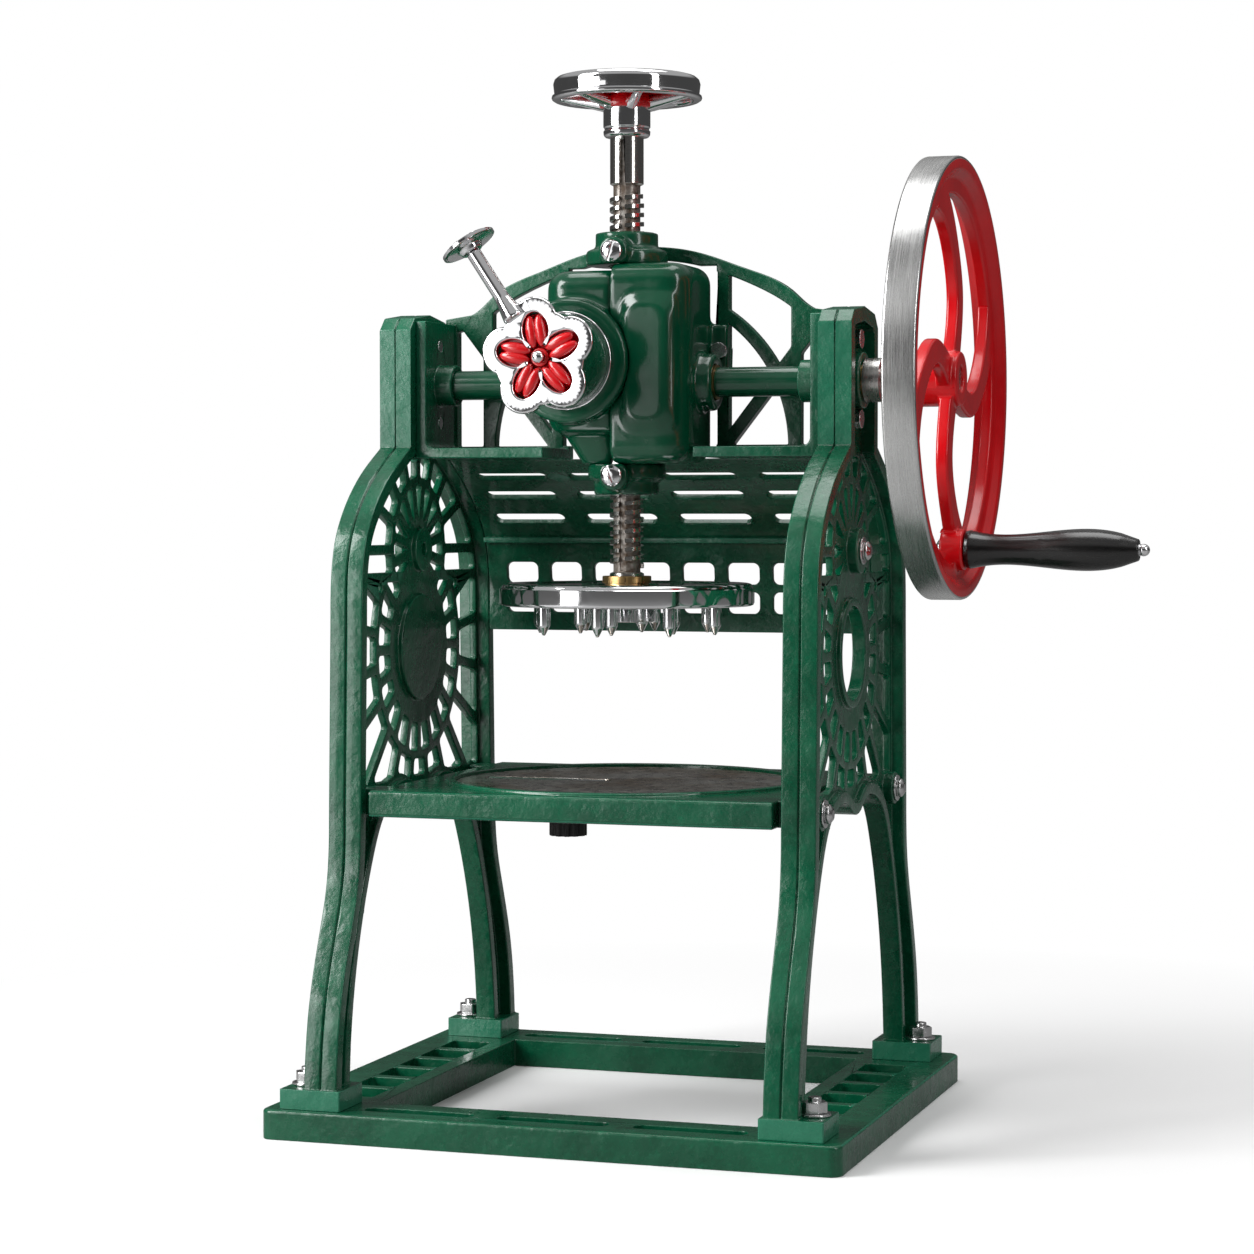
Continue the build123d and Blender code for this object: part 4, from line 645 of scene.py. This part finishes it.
class ICESHAVER_OT_spindle(bpy.types.Operator):
    """Cut the square thread and the keyway on the feed spindle."""
    bl_idname = "iceshaver.spindle"
    bl_label = "Threaded Spindle"

    def execute(self, context):
        low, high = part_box("feed_spindle")
        outer = (high.x - low.x) / 2
        root = sizes().root
        pitch = sizes().pitch
        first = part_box("plate_collar")[1].z + 0.0012
        last = HUB_LOW - 0.0235
        slim = outer - 0.0024
        neck = HUB_LOW + 0.003
        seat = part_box("pressure_plate")[0].z
        rod = turned("spindle_rod", [(low.z, slim), (seat, slim), (seat, outer), (first, outer),
                                     (first + 0.0008, root), (last, root), (last + 0.0008, outer - 0.0002),
                                     (neck, outer - 0.0002), (neck, slim), (high.z - 0.0006, slim),
                                     (high.z, slim - 0.0006)], 64)
        bpy.ops.object.select_all(action="DESELECT")
        buried = 0.0006
        width = outer - root + buried
        bpy.ops.mesh.primitive_plane_add(size=1.0, location=(0, 0, 0))
        ridge = named("spindle_ridge")
        edit(ridge)
        bpy.ops.transform.resize(value=(width, pitch * 0.50, 1))
        bpy.ops.transform.rotate(value=pi / 2, orient_axis="X", center_override=(0, 0, 0))
        bpy.ops.transform.translate(value=(root - buried + width / 2, 0, 0))
        done()
        turns = int((last - first) / pitch) - 1
        apply_modifier(ridge, "SCREW", axis="Z", screw_offset=pitch, iterations=turns, steps=40,
                       render_steps=40, use_merge_vertices=False)
        edit(ridge)
        bpy.ops.mesh.remove_doubles(threshold=WELD)
        bpy.ops.mesh.fill_holes(sides=4)
        bpy.ops.mesh.normals_make_consistent(inside=False)
        done()
        put(ridge, Matrix.Translation((0, 0, first + pitch * 0.8)))
        cut((rod, ridge), "keyway_cutter", (0, -outer, (first + HUB_LOW) / 2),
            (0.003, 0.005, HUB_LOW - first - 0.003))
        spindle = merge([rod, ridge], "threaded_spindle")
        put(spindle, Matrix.Translation((SPINDLE_X, 0, 0)))
        round_edges(spindle, 0.0002, 1, 50)
        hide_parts("feed_spindle")
        dress(spindle, "spindle", "spindle")
        return {"FINISHED"}


class ICESHAVER_OT_handwheel(bpy.types.Operator):
    """Turn the dished top handwheel: chrome rim, red web, bright conical ribs and hub."""
    bl_idname = "iceshaver.handwheel"
    bl_label = "Top Handwheel"

    def execute(self, context):
        low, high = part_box("top_handwheel")
        radius = (high.x - low.x) / 2
        rim_low = RIM_TOP - 0.0115
        inner = radius - 0.0042
        bore = 0.006
        rim = turned("handwheel_rim", [
            (rim_low, inner), (rim_low, radius - 0.0012), (rim_low + 0.0006, radius - 0.0003),
            (rim_low + 0.0013, radius), (rim_low + 0.0022, radius - 0.0002),
            (rim_low + 0.0028, radius - 0.0012), (rim_low + 0.0036, radius - 0.0013),
            (RIM_TOP - 0.0036, radius - 0.0008), (RIM_TOP - 0.0016, radius - 0.0014),
            (RIM_TOP - 0.0004, radius - 0.0028), (RIM_TOP, radius - 0.0042),
            (RIM_TOP - 0.0004, inner - 0.0006), (RIM_TOP - 0.0024, inner - 0.0014)], 96, True)
        round_edges(rim, 0.0)
        web_low = HUB_LOW + 0.020
        web = turned("handwheel_web", [
            (web_low, inner + 0.0004), (web_low + 0.003, inner + 0.0004), (web_low + 0.0028, inner - 0.004),
            (web_low + 0.0026, 0.013), (web_low + 0.003, 0.0112), (web_low + 0.003, bore),
            (web_low, bore)], 96, True)
        ring = turned("handwheel_ring", [
            (web_low - 0.0062, 0.0118), (web_low - 0.0058, 0.0131), (web_low - 0.0036, 0.0137),
            (web_low - 0.0014, 0.0131), (web_low + 0.0002, 0.0118)], 72, True)
        hub = turned("handwheel_hub", [
            (HUB_LOW, bore), (HUB_LOW, 0.0104), (HUB_LOW + 0.0010, 0.0113), (HUB_LOW + 0.0030, 0.0115),
            (HUB_LOW + 0.0034, 0.0109), (HUB_LOW + 0.0044, 0.0109), (HUB_LOW + 0.0048, 0.0115),
            (web_low - 0.0062, 0.0115), (web_low - 0.0020, 0.0118), (web_low, 0.0118),
            (web_low, bore)], 72, True)
        count = sizes().ribs
        first = Vector((0.0105, 0, web_low - 0.0038))
        last = Vector((inner + 0.0008, 0, rim_low + 0.0028))
        lean = (last - first).to_track_quat("Z", "X").to_matrix().to_4x4()
        span = (last - first).length
        rib = turned("handwheel_rib", [(0.0, 0.0036), (span * 0.3, 0.0031), (span * 0.75, 0.0022),
                                       (span, 0.0019)], 24)
        put(rib, Matrix.Translation(first) @ lean)
        ribs = [copy_of(rib, Matrix.Rotation(2 * pi * i / count, 4, "Z")) for i in range(count)]
        bpy.data.objects.remove(rib)
        ribs = merge(ribs, "handwheel_ribs")
        red = merge([web, ring], "handwheel_red_web")
        for piece in (rim, red, hub, ribs):
            put(piece, Matrix.Translation((SPINDLE_X, 0, 0)))
        round_edges(hub, 0.0003)
        round_edges(red, 0.0003)
        round_edges(ribs, 0.0)
        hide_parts("top_handwheel")
        dress(rim, "spindle", "chrome")
        dress(red, "spindle", "red")
        dress(hub, "spindle", "chrome")
        dress(ribs, "spindle", "chrome")
        skin("handwheel_nut", "handwheel_hex_nut", "spindle", "chrome", 0.0006)
        return {"FINISHED"}


class ICESHAVER_OT_pressure_plate(bpy.types.Operator):
    """Turn the chrome pressure plate and soften its spikes, collar and nut."""
    bl_idname = "iceshaver.pressure_plate"
    bl_label = "Pressure Plate"

    def execute(self, context):
        low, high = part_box("pressure_plate")
        radius = (high.x - low.x) / 2
        plate = turned("chrome_pressure_plate", [
            (low.z, 0.0060), (low.z, radius - 0.0016), (low.z + 0.0005, radius - 0.0005),
            (low.z + 0.0016, radius), (high.z - 0.0026, radius), (high.z - 0.0021, radius - 0.0006),
            (high.z - 0.0014, radius - 0.0008), (high.z - 0.0004, radius - 0.0016),
            (high.z, radius - 0.0030), (high.z, radius - 0.0120), (high.z - 0.0008, radius - 0.0132),
            (high.z - 0.0008, 0.0160), (high.z, 0.0148), (high.z, 0.0060)], 128, True)
        put(plate, Matrix.Translation((SPINDLE_X, 0, 0)))
        round_edges(plate, 0.0)
        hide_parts("pressure_plate")
        dress(plate, "spindle", "chrome")
        skin("ice_spikes", "ice_spike_pegs", "spindle", "chrome", 0.0004)
        skin("plate_collar", "plate_seat_collar", "spindle", "bronze", 0.0005)
        skin("plate_nut", "plate_lock_nut", "spindle", "chrome", 0.0007)
        return {"FINISHED"}


class ICESHAVER_OT_flower_clamp(bpy.types.Operator):
    """Model the clamp's flower plate, its red petals, the lever and the rings behind."""
    bl_idname = "iceshaver.flower_clamp"
    bl_label = "Flower Clamp"

    def execute(self, context):
        skin("flower_lever", "chrome_flower_lever", "lock", "chrome", 0.0011, 3, 30)
        skin("lever_knob", "lever_mushroom_knob", "lock", "chrome", 0.0007, 3)
        skin("friction_ring", "chrome_friction_ring", "frame", "chrome", 0.0006)
        skin("flower_insert", "red_flower_insert", "lock", "red", 0.0004)
        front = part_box("flower_lever")[0].y
        count = sizes().petals
        first_petal = radians(26.0)
        parting = 0.0022
        lobes = []
        for i in range(2 * count):
            angle = first_petal + 2 * pi * (i // 2) / count
            aside = parting if i % 2 else -parting
            bpy.ops.object.select_all(action="DESELECT")
            bpy.ops.mesh.primitive_uv_sphere_add(segments=32, ring_count=16, radius=1.0)
            lobe = named("petal_lobe")
            edit(lobe)
            bpy.ops.transform.resize(value=(0.0076, 0.0024, 0.0029))
            bpy.ops.transform.translate(value=(0.0122, 0.0, aside))
            done()
            place = Matrix.Translation((FEED_X, front + 0.0050, FEED_Z))
            put(lobe, place @ Matrix.Rotation(-angle, 4, "Y"))
            lobes.append(lobe)
        petals = merge(lobes, "flower_petals")
        choose(petals)
        bpy.ops.object.shade_smooth()
        dress(petals, "lock", "red")
        pin = turned("flower_pin", [(0.0, 0.0030), (0.0008, 0.0030), (0.0016, 0.0026), (0.0022, 0.0016),
                                    (0.0024, 0.0003)], 32)
        put(pin, facing_front(FEED_X, front + 0.0032, FEED_Z))
        round_edges(pin, 0.0)
        dress(pin, "feed", "chrome")
        return {"FINISHED"}


class ICESHAVER_OT_handle(bpy.types.Operator):
    """Smooth the lacquered grip, its bright tip and the stud."""
    bl_idname = "iceshaver.handle"
    bl_label = "Crank Handle"

    def execute(self, context):
        skin("handle_grip", "lacquered_grip", "grip", "wood", 0.0006, 3)
        skin("handle_tip", "bright_handle_tip", "crank", "chrome", 0.0)
        skin("handle_stud", "bright_handle_stud", "crank", "chrome", 0.0)
        return {"FINISHED"}


def slotted_head(name, radius, thick, slot):
    """A pan head with a driver slot, made about +Z with its underside at zero."""
    head = turned(name, [(0.0, radius - 0.0003), (0.0004, radius), (thick * 0.55, radius),
                         (thick * 0.82, radius * 0.86), (thick * 0.96, radius * 0.6),
                         (thick, radius * 0.3), (thick, radius * 0.02)], 48)
    cut((head,), "slot_cutter", (0, 0, thick), (slot, radius * 3, thick * 0.7))
    return round_edges(head, 0.00012, 1, 40)


class ICESHAVER_OT_screws(bpy.types.Operator):
    """Model the slotted cap screws and soften the other screws, nuts and washers."""
    bl_idname = "iceshaver.screws"
    bl_label = "Screws and Nuts"

    def execute(self, context):
        low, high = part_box("cap_screws")
        radius = (high.x - low.x) / 2
        thick = 0.0032
        head = slotted_head("ear_screw", radius, thick, 0.0013)
        ears = []
        for z, turn in ((low.z + radius, 0.4), (high.z - radius, -0.3)):
            ears.append(copy_of(head, facing_front(SPINDLE_X, low.y + thick, z) @
                                Matrix.Rotation(turn, 4, "Z")))
        bpy.data.objects.remove(head)
        ears = merge(ears, "ear_screws")
        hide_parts("cap_screws")
        dress(ears, "frame", "chrome")
        for node in ("foot_nuts", "foot_washers", "table_washers", "boss_washer", "lug_screws",
                     "table_screws", "boss_screw", "yoke_bolts"):
            skin(node, "bright_" + node, "frame", "plated", 0.0004)
        return {"FINISHED"}


class ICESHAVER_OT_blade_parts(bpy.types.Operator):
    """Soften the blade's carrier and guide pins, the adjuster and the wear plate."""
    bl_idname = "iceshaver.blade_parts"
    bl_label = "Blade Parts"

    def execute(self, context):
        skin("blade_carrier", "blackened_carrier", "blade", "black", 0.0008)
        skin("blade_adjuster", "knurled_adjuster", "adjuster", "black", 0.0005)
        skin("guide_pins", "round_ended_pins", "blade", "black", 0.0010)
        skin("wear_plate", "ground_wear_plate", "frame", "wear", 0.0004)
        return {"FINISHED"}


class ICESHAVER_OT_studio(bpy.types.Operator):
    """Set the pale floor, the soft light and the camera."""
    bl_idname = "iceshaver.studio"
    bl_label = "Studio"

    def execute(self, context):
        scene = context.scene
        scene.view_settings.view_transform = "Standard"
        self.floor()
        self.world(scene)
        for lamp in LAMPS:
            self.lamp(*lamp)
        camera = bpy.data.cameras.new("camera")
        camera.lens = sizes().lens
        camera.sensor_width = 36.0
        camera.clip_end = 100.0
        eye = bpy.data.objects.new("camera", camera)
        scene.collection.objects.link(eye)
        eye.location = CAMERA_PLACE
        eye.rotation_euler = (radians(CAMERA_PITCH), 0.0, radians(CAMERA_YAW))
        scene.camera = eye
        return {"FINISHED"}

    def floor(self):
        """Pale to the camera, glowing white far off, and darker in what the machine reflects."""
        bpy.ops.object.select_all(action="DESELECT")
        bpy.ops.mesh.primitive_plane_add(size=30.0, location=(0, 0, 0))
        plane = named("studio_floor")
        f = Finish("studio_floor", tuple(colours().floor), 0.0, 0.65)
        away = f.from_axis("X", "Y", 0.0, 0.0)
        seen = f.nodes.new("ShaderNodeLightPath").outputs["Is Camera Ray"]
        f.colour(f.mix(seen, shade(colours().floor, 0.34), tuple(colours().floor)))
        f.rough(f.ramp(f.noise(3.0), 0.0, 1.0, 0.6, 0.7))
        glow = f.nodes.new("ShaderNodeEmission")
        glow.inputs["Strength"].default_value = 1.0
        mix = f.nodes.new("ShaderNodeMixShader")
        far = f.ramp(away, 0.22, 0.62)
        f.link(f.maths("MULTIPLY", seen, far), mix.inputs[0])
        f.link(f.shader.outputs[0], mix.inputs[1])
        f.link(glow.outputs[0], mix.inputs[2])
        f.link(mix.outputs[0], f.nodes["Material Output"].inputs["Surface"])
        plane.data.materials.append(f.material)

    def world(self, scene):
        """White to the camera; to the machine a dark wall with a bright ceiling over it."""
        world = bpy.data.worlds.new("studio")
        scene.world = world
        world.use_nodes = True
        nodes, links = world.node_tree.nodes, world.node_tree.links
        background = nodes["Background"]
        background.inputs["Color"].default_value = (1, 1, 1, 1)
        split = nodes.new("ShaderNodeSeparateXYZ")
        links.new(nodes.new("ShaderNodeTexCoord").outputs["Generated"], split.inputs["Vector"])
        ceiling = nodes.new("ShaderNodeMapRange")
        ceiling.inputs["From Min"].default_value = 0.34
        ceiling.inputs["From Max"].default_value = 0.52
        ceiling.inputs["To Min"].default_value = 0.06
        ceiling.inputs["To Max"].default_value = 0.42
        links.new(split.outputs["Z"], ceiling.inputs["Value"])
        path = nodes.new("ShaderNodeLightPath")
        strength = nodes.new("ShaderNodeMath")
        strength.operation = "MAXIMUM"
        links.new(path.outputs["Is Camera Ray"], strength.inputs[0])
        links.new(ceiling.outputs["Result"], strength.inputs[1])
        links.new(strength.outputs[0], background.inputs["Strength"])

    def lamp(self, name, place, width, height, power):
        light = bpy.data.lights.new(name, "AREA")
        light.shape = "RECTANGLE"
        light.size = width
        light.size_y = height
        light.energy = power
        lamp = bpy.data.objects.new(name, light)
        bpy.context.scene.collection.objects.link(lamp)
        lamp.location = place
        aim = LAMP_AIM - Vector(place)
        lamp.rotation_euler = aim.to_track_quat("-Z", "Y").to_euler()


STEPS = (ICESHAVER_OT_node_finishes, ICESHAVER_OT_castings, ICESHAVER_OT_flywheel, ICESHAVER_OT_spindle,
         ICESHAVER_OT_handwheel, ICESHAVER_OT_pressure_plate, ICESHAVER_OT_flower_clamp,
         ICESHAVER_OT_handle, ICESHAVER_OT_screws, ICESHAVER_OT_blade_parts, ICESHAVER_OT_studio)


class ICESHAVER_PT_panel(bpy.types.Panel):
    """The ice shaver's sizes, colours and pieces."""
    bl_idname = "ICESHAVER_PT_panel"
    bl_label = "Ice Shaver"
    bl_space_type = "VIEW_3D"
    bl_region_type = "UI"
    bl_category = "Ice Shaver"

    def draw(self, context):
        for group in (context.scene.ice_shaver_sizes, context.scene.ice_shaver_colours):
            column = self.layout.column()
            for name in group.__annotations__:
                column.prop(group, name)
        column = self.layout.column()
        for step in STEPS:
            column.operator(step.bl_idname)


CLASSES = (IceShaverSizes, IceShaverColours) + STEPS + (ICESHAVER_PT_panel,)


def register():
    for item in CLASSES:
        bpy.utils.register_class(item)
    bpy.types.Scene.ice_shaver_sizes = PointerProperty(type=IceShaverSizes)
    bpy.types.Scene.ice_shaver_colours = PointerProperty(type=IceShaverColours)


def unregister():
    del bpy.types.Scene.ice_shaver_colours
    del bpy.types.Scene.ice_shaver_sizes
    for item in reversed(CLASSES):
        bpy.utils.unregister_class(item)


def main():
    register()
    for step in STEPS:
        group, call = step.bl_idname.split(".")
        getattr(getattr(bpy.ops, group), call)()
    deselect()


if __name__ == "__main__":
    main()
